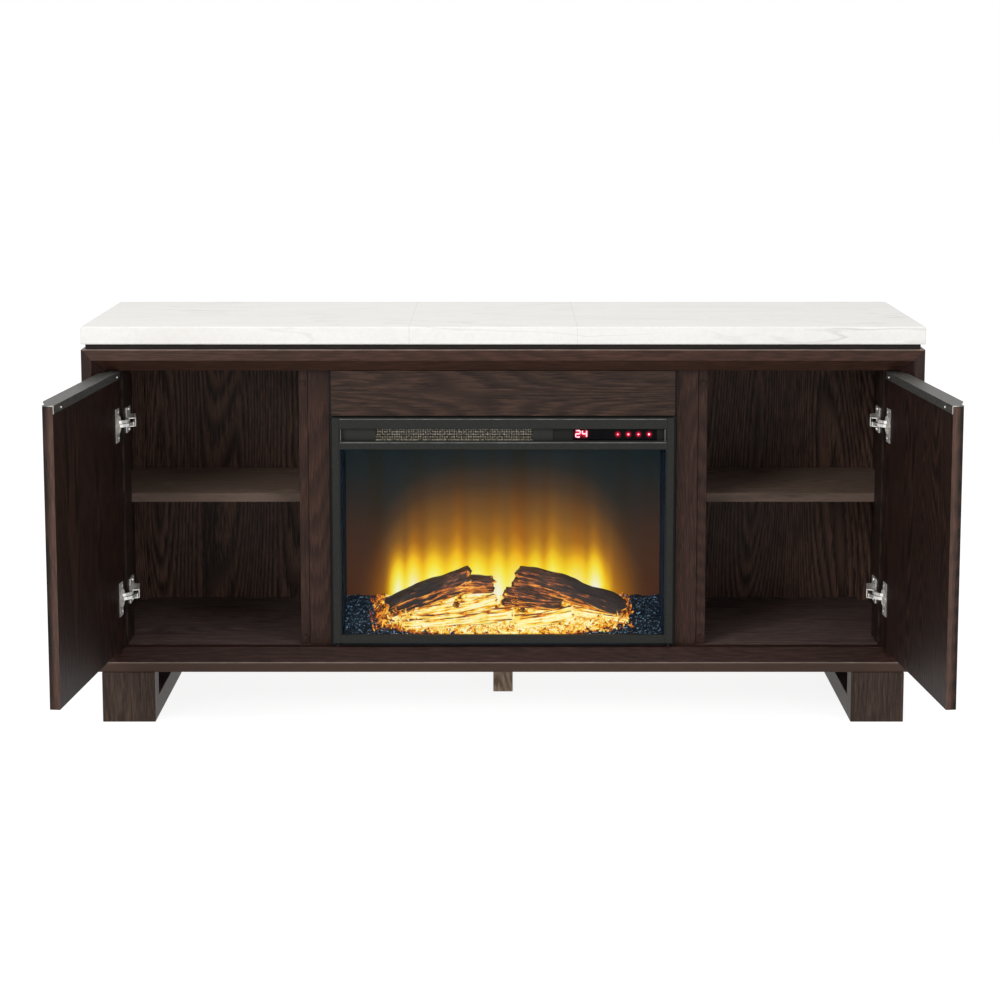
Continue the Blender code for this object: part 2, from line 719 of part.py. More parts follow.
def build_arm(name, z, side):
    """Hinge arm: a folded channel that carries both link pins, riveted to its mounting plate."""
    plate_low = DOOR_EDGE - (SIDE_INNER - SEAT - POST_WIDTH) + SEAT
    seat = plate_low + PLATE_THICK - SEAT
    front = CARCASS_FRONT - DOOR_OUTER_Y
    back = front + ARM_LENGTH
    (outer_pin, outer_depth), (inner_pin, inner_depth) = OUTER_LINK_ROUTE[0], INNER_LINK_ROUTE[0]
    nose = ARM_NOSE
    right = inner_pin + ARM_BACK_ROOM
    waist = front + ARM_WAIST
    outline = (
        (seat, back),
        (seat, outer_depth + nose / 2),
        (outer_pin - nose * 0.75, outer_depth - nose * 0.75),
        (outer_pin + nose * 0.5, outer_depth - nose),
        (inner_pin + nose * 0.5, inner_depth - nose),
        (right, inner_depth),
        (right - ARM_SHEET, inner_depth + nose * 2),
        (seat + ARM_BODY_WIDTH, waist),
        (seat + ARM_BODY_WIDTH, back),
    )
    beyond = 3 * CUT
    channel = (
        (seat - beyond, back + beyond),
        (seat - beyond, outer_depth - nose - beyond),
        (right - ARM_SHEET, outer_depth - nose - beyond),
        (right - ARM_SHEET, inner_depth),
        (right - 2 * ARM_SHEET, inner_depth + nose * 2),
        (seat + ARM_BODY_WIDTH - ARM_SHEET, waist),
        (seat + ARM_BODY_WIDTH - ARM_SHEET, back + beyond),
    )
    half = ARM_HEIGHT / 2
    shape = bmesh.new()
    prism(shape, [closed_point(side, *p) for p in outline], "z", z - half, z + half)
    arm = solid(name, shape, nickel())
    hollow = bmesh.new()
    prism(hollow, [closed_point(side, *p) for p in channel], "z", z - half + ARM_SHEET, z + half - ARM_SHEET)
    boolean(arm, hollow, f"{name}_channel")
    holes = bmesh.new()
    for pin in (OUTER_LINK_ROUTE[0], INNER_LINK_ROUTE[0]):
        place = closed_point(side, *pin)
        rod(holes, place, LINK_PIN_RADIUS + LINK_PIN_PLAY, "z", z - half - beyond, z + half + beyond, 12)
    boolean(arm, holes, f"{name}_pin_holes")
    one = closed_point(side, plate_low, front + PLATE_SETBACK)
    two = closed_point(side, plate_low + PLATE_THICK, front + PLATE_SETBACK + PLATE_LENGTH)
    plate = bmesh.new()
    low = (min(one[0], two[0]), one[1], z - PLATE_HEIGHT / 2)
    block(plate, low, (max(one[0], two[0]), two[1], z + PLATE_HEIGHT / 2))
    boolean(arm, plate, f"{name}_plate", "UNION")


# Electric fireplace insert: every depth is counted back from the trim's front face

CASING_HALF_WIDTH = INSERT_HALF_WIDTH - CASING_INSET
TRIM_BACK = DOOR_OUTER_Y + TRIM_DEPTH
PANE_FRONT = TRIM_BACK + SEAT
CASING_FRONT = PANE_FRONT + GLASS_THICK + SEAT
CASING_BOTTOM = FLOOR_Z + SEAT
CASING_TOP = INSERT_TOP_Z - CASING_TOP_INSET
CASING_BACK = CASING_FRONT + CASING_DEPTH
INSIDE_HALF = CASING_HALF_WIDTH - CASING_SHEET - SEAT
INSIDE_BOTTOM = CASING_BOTTOM + CASING_SHEET + SEAT
INSIDE_TOP = CASING_TOP - CASING_SHEET - SEAT
INSIDE_BACK = CASING_BACK - CASING_SHEET - SEAT
WINDOW_HALF = INSERT_HALF_WIDTH - TRIM_BORDER
WINDOW_BOTTOM = INSERT_BOTTOM_Z + TRIM_BORDER
CHANNEL_TOP = INSERT_TOP_Z - TOP_BAND
CHANNEL_BOTTOM = CHANNEL_TOP - CHANNEL_HEIGHT
WINDOW_TOP = CHANNEL_BOTTOM - CHANNEL_BAR
LINER_FRONT = CASING_FRONT + SEAT
LINER_TOP = CHANNEL_BOTTOM - CHANNEL_LAP - LINER_HEADROOM
LINER_BACK = LINER_FRONT + LINER_DEPTH
SCREEN_FRONT = LINER_BACK + SEAT
FIRE_HALF = INSIDE_HALF - LINER_THICK
ROTOR_Y = (SCREEN_FRONT + SCREEN_THICK + INSIDE_BACK) / 2
ROTOR_Z = CASING_BOTTOM + ROTOR_ABOVE_FLOOR
ROTOR_HALF_LENGTH = INSIDE_HALF - ROTOR_FROM_WALL
ROTOR_END = ROTOR_HALF_LENGTH + ROTOR_END_PLAY + ROTOR_BRACKET


def build_insert_front():
    steel = black_steel()
    shape = bmesh.new()
    low = (-INSERT_HALF_WIDTH, DOOR_OUTER_Y, INSERT_BOTTOM_Z)
    block(shape, low, (INSERT_HALF_WIDTH, TRIM_BACK, INSERT_BOTTOM_Z + INSERT_HEIGHT))
    trim = solid("trim_frame", shape, steel)
    openings = bmesh.new()
    for z_low, z_high in ((WINDOW_BOTTOM, WINDOW_TOP), (CHANNEL_BOTTOM, CHANNEL_TOP)):
        low = (-WINDOW_HALF, DOOR_OUTER_Y - CUT, z_low)
        block(openings, low, (WINDOW_HALF, TRIM_BACK + CUT, z_high))
    boolean(trim, openings, "trim_openings")
    soften(trim, 0.0012)

    low = (-CASING_HALF_WIDTH, PANE_FRONT, CASING_BOTTOM + CASING_SHEET + GLASS_LIFT)
    high = (CASING_HALF_WIDTH, PANE_FRONT + GLASS_THICK, CHANNEL_BOTTOM - CHANNEL_LAP - SEAT)
    board("glass_pane", low, high, material("smoked_glass", (20, 18, 20), 0.08), 0.0004)

    split = (GRILLE_X[1] + CONTROL_X[0]) / 2
    z_low = CHANNEL_BOTTOM - CHANNEL_LAP
    z_high = CHANNEL_TOP + CHANNEL_LAP
    back = PANE_FRONT + GLASS_THICK
    shape = bmesh.new()
    block(shape, (-CASING_HALF_WIDTH, back - GRILLE_THICK, z_low), (split - SEAT, back, z_high))
    grille = solid("vent_grille", shape, steel)
    slots = bmesh.new()
    pitch = (GRILLE_X[1] - GRILLE_X[0]) / GRILLE_SLOTS
    row = CHANNEL_HEIGHT / GRILLE_ROWS
    for i in range(GRILLE_SLOTS):
        for j in range(GRILLE_ROWS):
            x = GRILLE_X[0] + pitch * i
            z = CHANNEL_BOTTOM + row * j
            low = (x + GRILLE_BAR / 2, back - GRILLE_THICK - CUT, z + GRILLE_BAR / 2)
            block(slots, low, (x + pitch - GRILLE_BAR / 2, back + CUT, z + row - GRILLE_BAR / 2))
    boolean(grille, slots, "grille_slots")

    shape = bmesh.new()
    block(shape, (split + SEAT, back - CONTROL_THICK, z_low), (CASING_HALF_WIDTH, back, z_high))
    raised = CONTROL_RAISE
    pad = bmesh.new()
    low = (CONTROL_X[0], back - CONTROL_THICK - raised, CHANNEL_BOTTOM + raised)
    block(pad, low, (CONTROL_X[1], back - CONTROL_THICK + raised, CHANNEL_TOP - raised))
    panel = solid("control_panel", shape, material("black_glass", (10, 10, 12), 0.1))
    boolean(panel, pad, "control_pad", "UNION")

    circuit = bmesh.new()
    low = (CONTROL_X[0], back - SEAT, CHANNEL_BOTTOM - CHANNEL_LAP / 2)
    block(circuit, low, (CONTROL_X[1], CASING_FRONT + BOARD_THICK, CHANNEL_TOP))
    boolean(panel, circuit, "control_board", "UNION")


def build_casing():
    shape = bmesh.new()
    low = (-CASING_HALF_WIDTH, CASING_FRONT, CASING_BOTTOM)
    block(shape, low, (CASING_HALF_WIDTH, CASING_BACK, CASING_TOP))
    casing = solid("insert_casing", shape, black_steel())
    inside = bmesh.new()
    low = (-CASING_HALF_WIDTH + CASING_SHEET, CASING_FRONT - CUT, CASING_BOTTOM + CASING_SHEET)
    high = (CASING_HALF_WIDTH - CASING_SHEET, CASING_BACK - CASING_SHEET, CASING_TOP - CASING_SHEET)
    block(inside, low, high)
    boolean(casing, inside, "casing_inside")

    x, z = INSIDE_HALF - INLET_FROM_END, INSIDE_BOTTOM + INLET_ABOVE_FLOOR
    half_width, half_height = INLET_WIDTH / 2, INLET_HEIGHT / 2
    hole = bmesh.new()
    low = (x - half_width - SEAT, INSIDE_BACK - CUT, z - half_height - SEAT)
    block(hole, low, (x + half_width + SEAT, CASING_BACK + CUT, z + half_height + SEAT))
    boolean(casing, hole, "inlet_hole")
    shape = bmesh.new()
    rear = CASING_BACK + SEAT + INLET_RIM_THICK
    low = (x - half_width, INSIDE_BACK - INLET_DEPTH, z - half_height)
    block(shape, low, (x + half_width, rear, z + half_height))
    inlet = solid("power_inlet", shape, material("black_plastic", (24, 24, 25), 0.5))
    flange = bmesh.new()
    low = (x - half_width - INLET_RIM, CASING_BACK + SEAT, z - half_height - INLET_RIM)
    block(flange, low, (x + half_width + INLET_RIM, rear, z + half_height + INLET_RIM))
    boolean(inlet, flange, "inlet_flange", "UNION")
    socket = bmesh.new()
    low = (x - half_width + INLET_WALL, CASING_BACK - INLET_SOCKET_DEPTH, z - half_height + INLET_WALL)
    block(socket, low, (x + half_width - INLET_WALL, rear + CUT, z + half_height - INLET_WALL))
    boolean(inlet, socket, "inlet_socket")

    vents = bmesh.new()
    for i in range(CASING_VENTS):
        x = HEATER_X[0] + VENT_PITCH * (i + 1)
        low = (x, INSIDE_BACK - CUT, CASING_TOP - VENT_FROM_TOP - VENT_HEIGHT)
        block(vents, low, (x + VENT_WIDTH, CASING_BACK + CUT, CASING_TOP - VENT_FROM_TOP))
    boolean(casing, vents, "casing_vents")
    half_width, half_height = ROTOR_BRACKET_WIDTH / 2, ROTOR_BRACKET_HEIGHT / 2
    for word, side in both_sides():
        near, far = sorted((side * (ROTOR_END - ROTOR_BRACKET), side * ROTOR_END))
        bracket = bmesh.new()
        low = (near, ROTOR_Y - half_width, ROTOR_Z - half_height)
        block(bracket, low, (far, INSIDE_BACK + CUT, ROTOR_Z + half_height))
        boolean(casing, bracket, f"{word}_rotor_bracket", "UNION")
        hole = bmesh.new()
        rod(hole, (ROTOR_Y, ROTOR_Z), ROTOR_SPINDLE + SEAT, "x", near - CUT, far + CUT, 12)
        boolean(casing, hole, f"{word}_rotor_bearing")


def build_firebox():
    half = INSIDE_HALF
    outline = (
        (-half, INSIDE_BOTTOM),
        (-half, LINER_TOP),
        (half, LINER_TOP),
        (half, INSIDE_BOTTOM),
        (FIRE_HALF, INSIDE_BOTTOM),
        (FIRE_HALF, LINER_TOP - LINER_THICK),
        (-FIRE_HALF, LINER_TOP - LINER_THICK),
        (-FIRE_HALF, INSIDE_BOTTOM),
    )
    shape = bmesh.new()
    prism(shape, outline, "y", LINER_FRONT, LINER_BACK)
    solid("firebox_liner", shape, material("navy_black_liner", (14, 16, 26), 0.6))
    low = (-half, SCREEN_FRONT, INSIDE_BOTTOM)
    high = (half, SCREEN_FRONT + SCREEN_THICK, LINER_TOP)
    board("flame_screen", low, high, material("flame_screen", (150, 70, 25), 0.4))
    build_embers()
    build_logs()


def ember_plane(y):
    """Height of the plane that the logs lie on, above the sloping ember bed."""
    share = (y - LINER_FRONT) / LINER_DEPTH
    return WINDOW_BOTTOM + EMBER_LIFT + share * EMBER_RISE


def build_embers():
    """Moulded ember bed: a wedge with a lumpy top, highest at the back."""
    shape = bmesh.new()
    columns, rows = EMBER_COLUMNS, EMBER_ROWS
    half = FIRE_HALF - SEAT
    front, back = LINER_FRONT + SEAT, LINER_BACK - SEAT
    chance = random.Random(7)
    top, low = [], []
    for j in range(rows + 1):
        y = front + (back - front) * j / rows
        line = []
        for i in range(columns + 1):
            x = -half + 2 * half * i / columns
            drop = EMBER_GRAIN * chance.random()
            line.append(shape.verts.new((x, y, ember_plane(y) - SEAT - drop)))
        top.append(line)
        low.append([shape.verts.new((x, y, INSIDE_BOTTOM)) for x in (-half, half)])
    for j in range(rows):
        for i in range(columns):
            shape.faces.new((top[j][i], top[j][i + 1], top[j + 1][i + 1], top[j + 1][i]))
        shape.faces.new((top[j][0], top[j + 1][0], low[j + 1][0], low[j][0]))
        shape.faces.new((top[j][-1], low[j][1], low[j + 1][1], top[j + 1][-1]))
        shape.faces.new((low[j][0], low[j + 1][0], low[j + 1][1], low[j][1]))
    shape.faces.new([low[0][0], low[0][1]] + top[0][::-1])
    shape.faces.new([low[-1][1], low[-1][0]] + top[-1])
    solid("ember_bed", shape, material("ember_resin", (120, 60, 25), 0.8))


def log(shape, start, end, radius, seed, sides=11, rings=7):
    """One moulded log: an uneven round bar between two points, with sawn ends."""
    chance = random.Random(seed)
    start, end = Vector(start), Vector(end)
    along = (end - start).normalized()
    side = along.cross(Vector((0, 0, 1))).normalized()
    up = side.cross(along)
    loops = []
    knots = [1 + 0.14 * (chance.random() - 0.5) for _ in range(sides)]
    for k in range(rings + 1):
        centre = start.lerp(end, k / rings) + up * 0.004 * math.sin(k * 1.3 + seed)
        swell = radius * (1 + 0.10 * math.sin(k * 2.1 + seed))
        loop = []
        for i in range(sides):
            a = 2 * math.pi * i / sides
            reach = swell * knots[i] * (1 + 0.05 * (chance.random() - 0.5))
            loop.append(shape.verts.new(centre + side * reach * math.cos(a) + up * reach * math.sin(a)))
        loops.append(loop)
    faces = [shape.faces.new(loops[0]), shape.faces.new(loops[-1])]
    for one, two in zip(loops, loops[1:]):
        for i in range(sides):
            j = (i + 1) % sides
            faces.append(shape.faces.new((one[i], one[j], two[j], two[i])))
    bmesh.ops.recalc_face_normals(shape, faces=faces)


def fire_point(shares):
    """World point of a log's end."""
    across, deep, high = shares
    return across * FIRE_HALF, CASING_FRONT + deep * LINER_DEPTH, WINDOW_BOTTOM + high * EMBER_RISE


def build_logs():
    """The log set is one moulding: a thin base that follows the bed's slope, with the logs on it."""
    front, back = LINER_FRONT + LOG_BASE_INSET, LINER_BACK - LOG_BASE_INSET
    outline = (
        (front, ember_plane(front) - LOG_BASE),
        (back, ember_plane(back) - LOG_BASE),
        (back, ember_plane(back) + LOG_BASE),
        (front, ember_plane(front) + LOG_BASE),
    )
    shape = bmesh.new()
    reach = FIRE_HALF * max(abs(start[0]) for start, _, _ in LOGS)
    prism(shape, outline, "x", -reach, reach)
    made = solid("log_set", shape, material("charred_log", (60, 34, 22), 0.85))
    for i, (start, end, radius) in enumerate(LOGS):
        bar = bmesh.new()
        log(bar, fire_point(start), fire_point(end), radius, i + 1)
        boolean(made, bar, f"log_{i}", "UNION")
    below = bmesh.new()
    wide = LOG_UNDERCUT
    outline = (
        (LINER_FRONT - wide, INSIDE_BOTTOM - wide),
        (LINER_BACK + wide, INSIDE_BOTTOM - wide),
        (LINER_BACK + wide, ember_plane(LINER_BACK + wide)),
        (LINER_FRONT - wide, ember_plane(LINER_FRONT - wide)),
    )
    prism(below, outline, "x", -FIRE_HALF, FIRE_HALF)
    boolean(made, below, "logs_underside")


def build_heater():
    steel = material("galvanised_steel", (140, 142, 145), 0.4, 0.8)
    low_z, high_z = LINER_TOP + SEAT, INSIDE_TOP
    middle = (low_z + high_z) / 2
    front = CASING_FRONT + SEAT + BOARD_THICK
    back = front + HEATER_DEPTH
    centre = (back - HEATER_WALL - BLOWER_PLAY - BLOWER_RADIUS, middle)
    shape = bmesh.new()
    block(shape, (HEATER_X[0], front, low_z), (HEATER_X[1], back, high_z))
    housing = solid("heater_housing", shape, steel)
    inner = (HEATER_X[0] + HEATER_WALL, HEATER_X[1] - HEATER_WALL)
    scroll = bmesh.new()
    rod(scroll, centre, BLOWER_RADIUS + BLOWER_PLAY, "x", *inner, 32)
    boolean(housing, scroll, "blower_scroll")
    duct = bmesh.new()
    block(duct, (inner[0], front - CUT, low_z + HEATER_WALL), (inner[1], centre[0], high_z - HEATER_WALL))
    boolean(housing, duct, "heater_duct")
    bearing = bmesh.new()
    rod(bearing, centre, SHAFT_RADIUS + SEAT, "x", HEATER_X[0] - CUT, HEATER_X[1] + CUT, 12)
    boolean(housing, bearing, "shaft_holes")

    outline = []
    step = 2 * math.pi / BLOWER_BLADES
    root = BLOWER_ROOT_RADIUS
    for i in range(BLOWER_BLADES):
        a = step * i
        lean = step * BLOWER_LEAN
        for radius, angle in (
            (root, a - BLOWER_BLADE / root),
            (BLOWER_RADIUS, a + lean - BLOWER_BLADE / BLOWER_RADIUS / 2),
            (BLOWER_RADIUS, a + lean + BLOWER_BLADE / BLOWER_RADIUS / 2),
            (root, a + BLOWER_BLADE / root),
        ):
            outline.append((radius * math.cos(angle), radius * math.sin(angle)))
    axis = bpy.data.objects.new("blower_axis", None)
    bpy.context.scene.collection.objects.link(axis)
    axis.location = (0, *centre)
    shape = bmesh.new()
    prism(shape, outline, "x", inner[0] + BLOWER_PLAY, inner[1] - BLOWER_PLAY)
    wheel = solid("blower_wheel", shape, material("blower_alloy", (170, 172, 175), 0.35, 1.0), parent=axis)
    shaft = bmesh.new()
    rod(shaft, (0, 0), SHAFT_RADIUS, "x", HEATER_X[0] - SEAT, HEATER_X[1], 12)
    boolean(wheel, shaft, "blower_shaft", "UNION")
    shape = bmesh.new()
    rod(shape, centre, MOTOR_RADIUS, "x", HEATER_X[1] + SEAT, HEATER_X[1] + SEAT + MOTOR_LENGTH, 24)
    solid("blower_motor", shape, steel, True)


def build_rotor():
    """Flame rotor: a rod with flat bright vanes at stepped angles, which make the flicker on the screen."""
    steel = material("galvanised_steel", (140, 142, 145), 0.4, 0.8)
    axis = bpy.data.objects.new("rotor_axis", None)
    bpy.context.scene.collection.objects.link(axis)
    axis.location = (0, ROTOR_Y, ROTOR_Z)
    shape = bmesh.new()
    rod(shape, (0, 0), ROTOR_SPINDLE, "x", -ROTOR_END, ROTOR_END, 12)
    rotor = solid("flame_rotor", shape, material("bright_strip", (225, 225, 225), 0.1, 1.0), parent=axis)
    vanes = bmesh.new()
    length = 2 * ROTOR_HALF_LENGTH / ROTOR_VANES - ROTOR_VANE_GAP
    for k in range(ROTOR_VANES):
        x = ROTOR_HALF_LENGTH * (2 * (k + 0.5) / ROTOR_VANES - 1)
        turn = Matrix.Translation((x, 0, 0)) @ Matrix.Rotation(ROTOR_TWIST * k, 4, "X")
        place = turn @ Matrix.Diagonal((length, 2 * ROTOR_RADIUS, ROTOR_VANE_THICK, 1))
        bmesh.ops.create_cube(vanes, size=1, matrix=place)
    boolean(rotor, vanes, "rotor_vanes", "UNION")

    shape = bmesh.new()
    near = ROTOR_END + SEAT
    rod(shape, (ROTOR_Y, ROTOR_Z), ROTOR_MOTOR_RADIUS, "x", near, near + ROTOR_MOTOR_LENGTH, 24)
    solid("rotor_motor", shape, steel, True)

    front = SCREEN_FRONT + SCREEN_THICK + LED_FROM_SCREEN
    high = (ROTOR_HALF_LENGTH, front + LED_DEPTH, INSIDE_BOTTOM + BOARD_THICK)
    shape = bmesh.new()
    block(shape, (-ROTOR_HALF_LENGTH, front, INSIDE_BOTTOM), high)
    circuit = solid("led_strip", shape, material("circuit_board", (20, 70, 40), 0.5))
    lamps = bmesh.new()
    half = LED_SIZE / 2
    y = front + LED_DEPTH / 2
    for i in range(LED_COUNT):
        x = ROTOR_HALF_LENGTH * (2 * (i + 0.5) / LED_COUNT - 1)
        low = (x - half, y - half, INSIDE_BOTTOM + BOARD_THICK / 2)
        block(lamps, low, (x + half, y + half, INSIDE_BOTTOM + LED_HEIGHT))
    boolean(circuit, lamps, "led_lamps", "UNION")


def build():
    for old in list(bpy.data.objects):
        bpy.data.objects.remove(old)
    build_top()
    build_carcass()
    build_frame()
    build_shelves()
    build_legs()
    build_doors()
    build_insert_front()
    build_casing()
    build_firebox()
    build_heater()
    build_rotor()


build()
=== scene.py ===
# Fireplace sideboard: a stone top on a dark oak cabinet, two cup-hinged doors and an electric fire.
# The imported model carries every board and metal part. This file gives them their real surfaces and
# adds the logs, embers, lit display, screws and fine trim.
import math
import random

import bmesh
import bpy
from mathutils import Matrix, Vector, noise


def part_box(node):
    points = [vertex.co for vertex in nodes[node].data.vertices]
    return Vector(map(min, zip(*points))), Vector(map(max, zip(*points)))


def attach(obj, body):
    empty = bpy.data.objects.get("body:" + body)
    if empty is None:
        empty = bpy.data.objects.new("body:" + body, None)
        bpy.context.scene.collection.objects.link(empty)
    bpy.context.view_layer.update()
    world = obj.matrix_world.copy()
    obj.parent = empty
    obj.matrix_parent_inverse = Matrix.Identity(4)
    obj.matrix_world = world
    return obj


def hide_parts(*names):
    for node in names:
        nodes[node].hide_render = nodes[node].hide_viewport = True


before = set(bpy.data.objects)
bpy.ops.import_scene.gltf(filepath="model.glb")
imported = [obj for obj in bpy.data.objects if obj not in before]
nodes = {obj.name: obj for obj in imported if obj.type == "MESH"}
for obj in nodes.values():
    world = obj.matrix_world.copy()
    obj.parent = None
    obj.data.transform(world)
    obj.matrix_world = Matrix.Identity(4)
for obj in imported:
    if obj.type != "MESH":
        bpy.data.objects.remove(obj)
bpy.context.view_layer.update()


# Camera: a long lens in front of the middle, a little above the top and tipped down.
# A small upward shift keeps the cabinet's sides nearly parallel.
CAMERA_Y = -3.960
CAMERA_Z = 1.2027
CAMERA_PITCH = 6.924
lens = bpy.data.cameras.new("studio_camera")
lens.sensor_width = 36.0
lens.lens = 75.77
lens.shift_x = -0.003
lens.shift_y = -0.18
camera = bpy.data.objects.new("studio_camera", lens)
camera.location = (0.0, CAMERA_Y, CAMERA_Z)
camera.rotation_euler = (math.radians(90 - CAMERA_PITCH), 0.0, 0.0)
bpy.context.scene.collection.objects.link(camera)
bpy.context.scene.camera = camera
bpy.context.scene.view_settings.view_transform = "Standard"


# Studio: a white floor and surround, a large soft lamp at the front left and a weaker one at the right.
# The floor and the world look white to the camera and in reflections, and the floor keeps the shadow.
def srgb(code):
    """Linear colour of an sRGB hex code."""
    shares = [int(code[i : i + 2], 16) / 255 for i in (0, 2, 4)]
    return tuple(s / 12.92 if s <= 0.04045 else ((s + 0.055) / 1.055) ** 2.4 for s in shares) + (1.0,)


def fill(node, inputs):
    """Links or sets the sockets of a node. A node among the values stands for its first output."""
    for socket, value in inputs.items():
        if isinstance(value, bpy.types.Node):
            value = value.outputs[0]
        if isinstance(value, bpy.types.NodeSocket):
            node.id_data.links.new(value, node.inputs[socket])
        else:
            node.inputs[socket].default_value = value


def add(tree, kind, inputs=None, **settings):
    """Adds one shader node, with its settings, sockets and links."""
    made = tree.nodes.new("ShaderNode" + kind)
    for name, value in settings.items():
        if name == "stops":
            stops = made.color_ramp.elements
            while len(stops) < len(value):
                stops.new(1.0)
            for stop, (place, colour) in zip(stops, value):
                stop.position = place
                stop.color = srgb(colour)
        else:
            setattr(made, name, value)
    fill(made, inputs or {})
    return made


def looked_at(tree):
    """1 where a surface is seen, also in a mirror or through glass, and 0 where it only lights another."""
    rays = add(tree, "LightPath").outputs
    direct = add(tree, "Math", {0: rays["Is Camera Ray"], 1: rays["Is Glossy Ray"]}, operation="MAXIMUM")
    seen = add(tree, "Math", {0: direct, 1: rays["Is Transmission Ray"]}, operation="MAXIMUM")
    return seen


world = bpy.data.worlds.new("studio_surround")
bpy.context.scene.world = world
world.use_nodes = True
tree = world.node_tree
tree.nodes.clear()
WHITE = (1.0, 1.0, 1.0, 1.0)
soft = add(tree, "Background", {"Color": WHITE, "Strength": 0.5})
bright = add(tree, "Background", {"Color": WHITE, "Strength": 1.0})
either = add(tree, "MixShader", {0: looked_at(tree), 1: soft, 2: bright})
add(tree, "OutputWorld", {"Surface": either})

shape = bmesh.new()
bmesh.ops.create_grid(shape, x_segments=1, y_segments=1, size=30.0)
mesh = bpy.data.meshes.new("studio_floor")
shape.to_mesh(mesh)
shape.free()
floor = bpy.data.objects.new("studio_floor", mesh)
bpy.context.scene.collection.objects.link(floor)
paper = bpy.data.materials.new("white_paper_sweep")
paper.use_nodes = True
tree = paper.node_tree
tree.nodes.clear()
share = add(tree, "Math", {0: looked_at(tree), 1: 0.62}, operation="MULTIPLY")
matt = add(tree, "BsdfDiffuse", {"Color": (0.86, 0.86, 0.86, 1.0)})
glow = add(tree, "Emission", {"Color": WHITE, "Strength": 1.42})
both = add(tree, "MixShader", {0: share, 1: matt, 2: glow})
add(tree, "OutputMaterial", {"Surface": both})
mesh.materials.append(paper)


def lamp(name, place, target, size, power):
    """A square soft box aimed at a point."""
    light = bpy.data.lights.new(name, "AREA")
    light.shape = "SQUARE"
    light.size = size
    light.energy = power
    made = bpy.data.objects.new(name, light)
    made.location = place
    made.rotation_euler = (Vector(target) - Vector(place)).to_track_quat("-Z", "Y").to_euler()
    bpy.context.scene.collection.objects.link(made)


lamp("key_box", (-2.6, -3.6, 2.4), (0.2, 0.0, 0.35), 2.2, 88)
lamp("fill_box", (2.8, -3.2, 1.4), (0.0, 0.0, 0.35), 2.0, 38)
lamp("top_box", (0.0, -0.4, 3.4), (0.0, 0.0, 0.7), 2.4, 24)


# Stone top: one honed slab of off-white marble, with faint warm-grey veins that run lengthwise.
# It is made of three lengths butted together, so two hairline joints show on the front edge.
def finish(name):
    """A new material, its node tree, its shader and the piece's own coordinates."""
    made = bpy.data.materials.new(name)
    made.use_nodes = True
    tree = made.node_tree
    return made, tree, tree.nodes["Principled BSDF"], add(tree, "TexCoord").outputs["Object"]


def wear(made, *names):
    """Gives CAD nodes a finish."""
    for name in names:
        nodes[name].data.materials.clear()
        nodes[name].data.materials.append(made)


marble, tree, shader, place = finish("honed_white_marble")
# Veins lie 60 to 90 mm apart and run about 600 mm before they fade
stretch = add(
    tree, "Mapping", {"Vector": place, "Rotation": (0.0, 0.0, math.radians(3)), "Scale": (1.9, 11.0, 15.0)},
)
cloud = add(tree, "TexNoise", {
    "Vector": stretch, "Scale": 1.0, "Detail": 3.0, "Roughness": 0.5, "Distortion": 0.12,
})
line = add(tree, "Math", {0: cloud.outputs["Fac"], 1: 0.5}, operation="SUBTRACT")
line = add(tree, "Math", {0: line}, operation="ABSOLUTE")
vein = add(tree, "MapRange", {
    "Value": line, "From Min": 0.0, "From Max": 0.016, "To Min": 1.0, "To Max": 0.0,
})
patch = add(tree, "TexNoise", {"Vector": place, "Scale": 5.0, "Detail": 2.0})
fade = add(tree, "MapRange", {"Value": patch.outputs["Fac"], "From Min": 0.42, "From Max": 0.68})
vein = add(tree, "Math", {0: vein, 1: fade}, operation="MULTIPLY")
# Crystals of up to 7 mm give the ground a slight mottle
grain = add(tree, "TexNoise", {"Vector": place, "Scale": 150.0, "Detail": 3.0})
ground = add(
    tree, "ValToRGB", {0: grain.outputs["Fac"]}, stops=((0.25, "efede9"), (0.5, "f2f0ed"), (0.8, "f5f4f1")),
)
tint = add(
    tree, "ValToRGB", {0: cloud.outputs["Fac"]}, stops=((0.2, "f0eeea"), (0.5, "ffffff"), (0.85, "f5f3f0")),
)
ground = add(tree, "Mix", {0: 0.8, 6: ground, 7: tint}, data_type="RGBA", blend_type="MULTIPLY")
weight = add(tree, "Math", {0: vein, 1: 0.5}, operation="MULTIPLY")
veined = add(tree, "Mix", {0: weight, 6: ground.outputs[2], 7: srgb("beb8ae")}, data_type="RGBA")
# The joints are 0.3 mm wide in life, and drawn 1.4 mm wide
JOINTS_X, JOINT_HALF_WIDTH = (-0.169, 0.134), 0.0007
across = add(tree, "SeparateXYZ", {0: place}).outputs["X"]
first = add(tree, "Math", {0: across, 1: JOINTS_X[0], 2: JOINT_HALF_WIDTH}, operation="COMPARE")
second = add(tree, "Math", {0: across, 1: JOINTS_X[1], 2: JOINT_HALF_WIDTH}, operation="COMPARE")
joint = add(tree, "Math", {0: first, 1: second}, operation="MAXIMUM")
weight = add(tree, "Math", {0: joint, 1: 0.35}, operation="MULTIPLY")
stone = add(tree, "Mix", {0: weight, 6: veined.outputs[2], 7: srgb("c9c4bb")}, data_type="RGBA")
dull = add(tree, "MapRange", {"Value": grain.outputs["Fac"], "To Min": 0.44, "To Max": 0.52})
fill(shader, {"Base Color": stone.outputs[2], "Roughness": dull, "Specular IOR Level": 0.2})
wear(marble, "marble_top")


# Oak boards: crown-cut oak veneer on board, stained espresso and sealed with a satin lacquer.
# The veneer runs along each piece, so every run of grain has its own finish. Each copy's colour is also set
# for the light on its part, so parts deep in shade are painted lighter.
PORES_ALONG, PORES_ACROSS = 26.0, 330.0


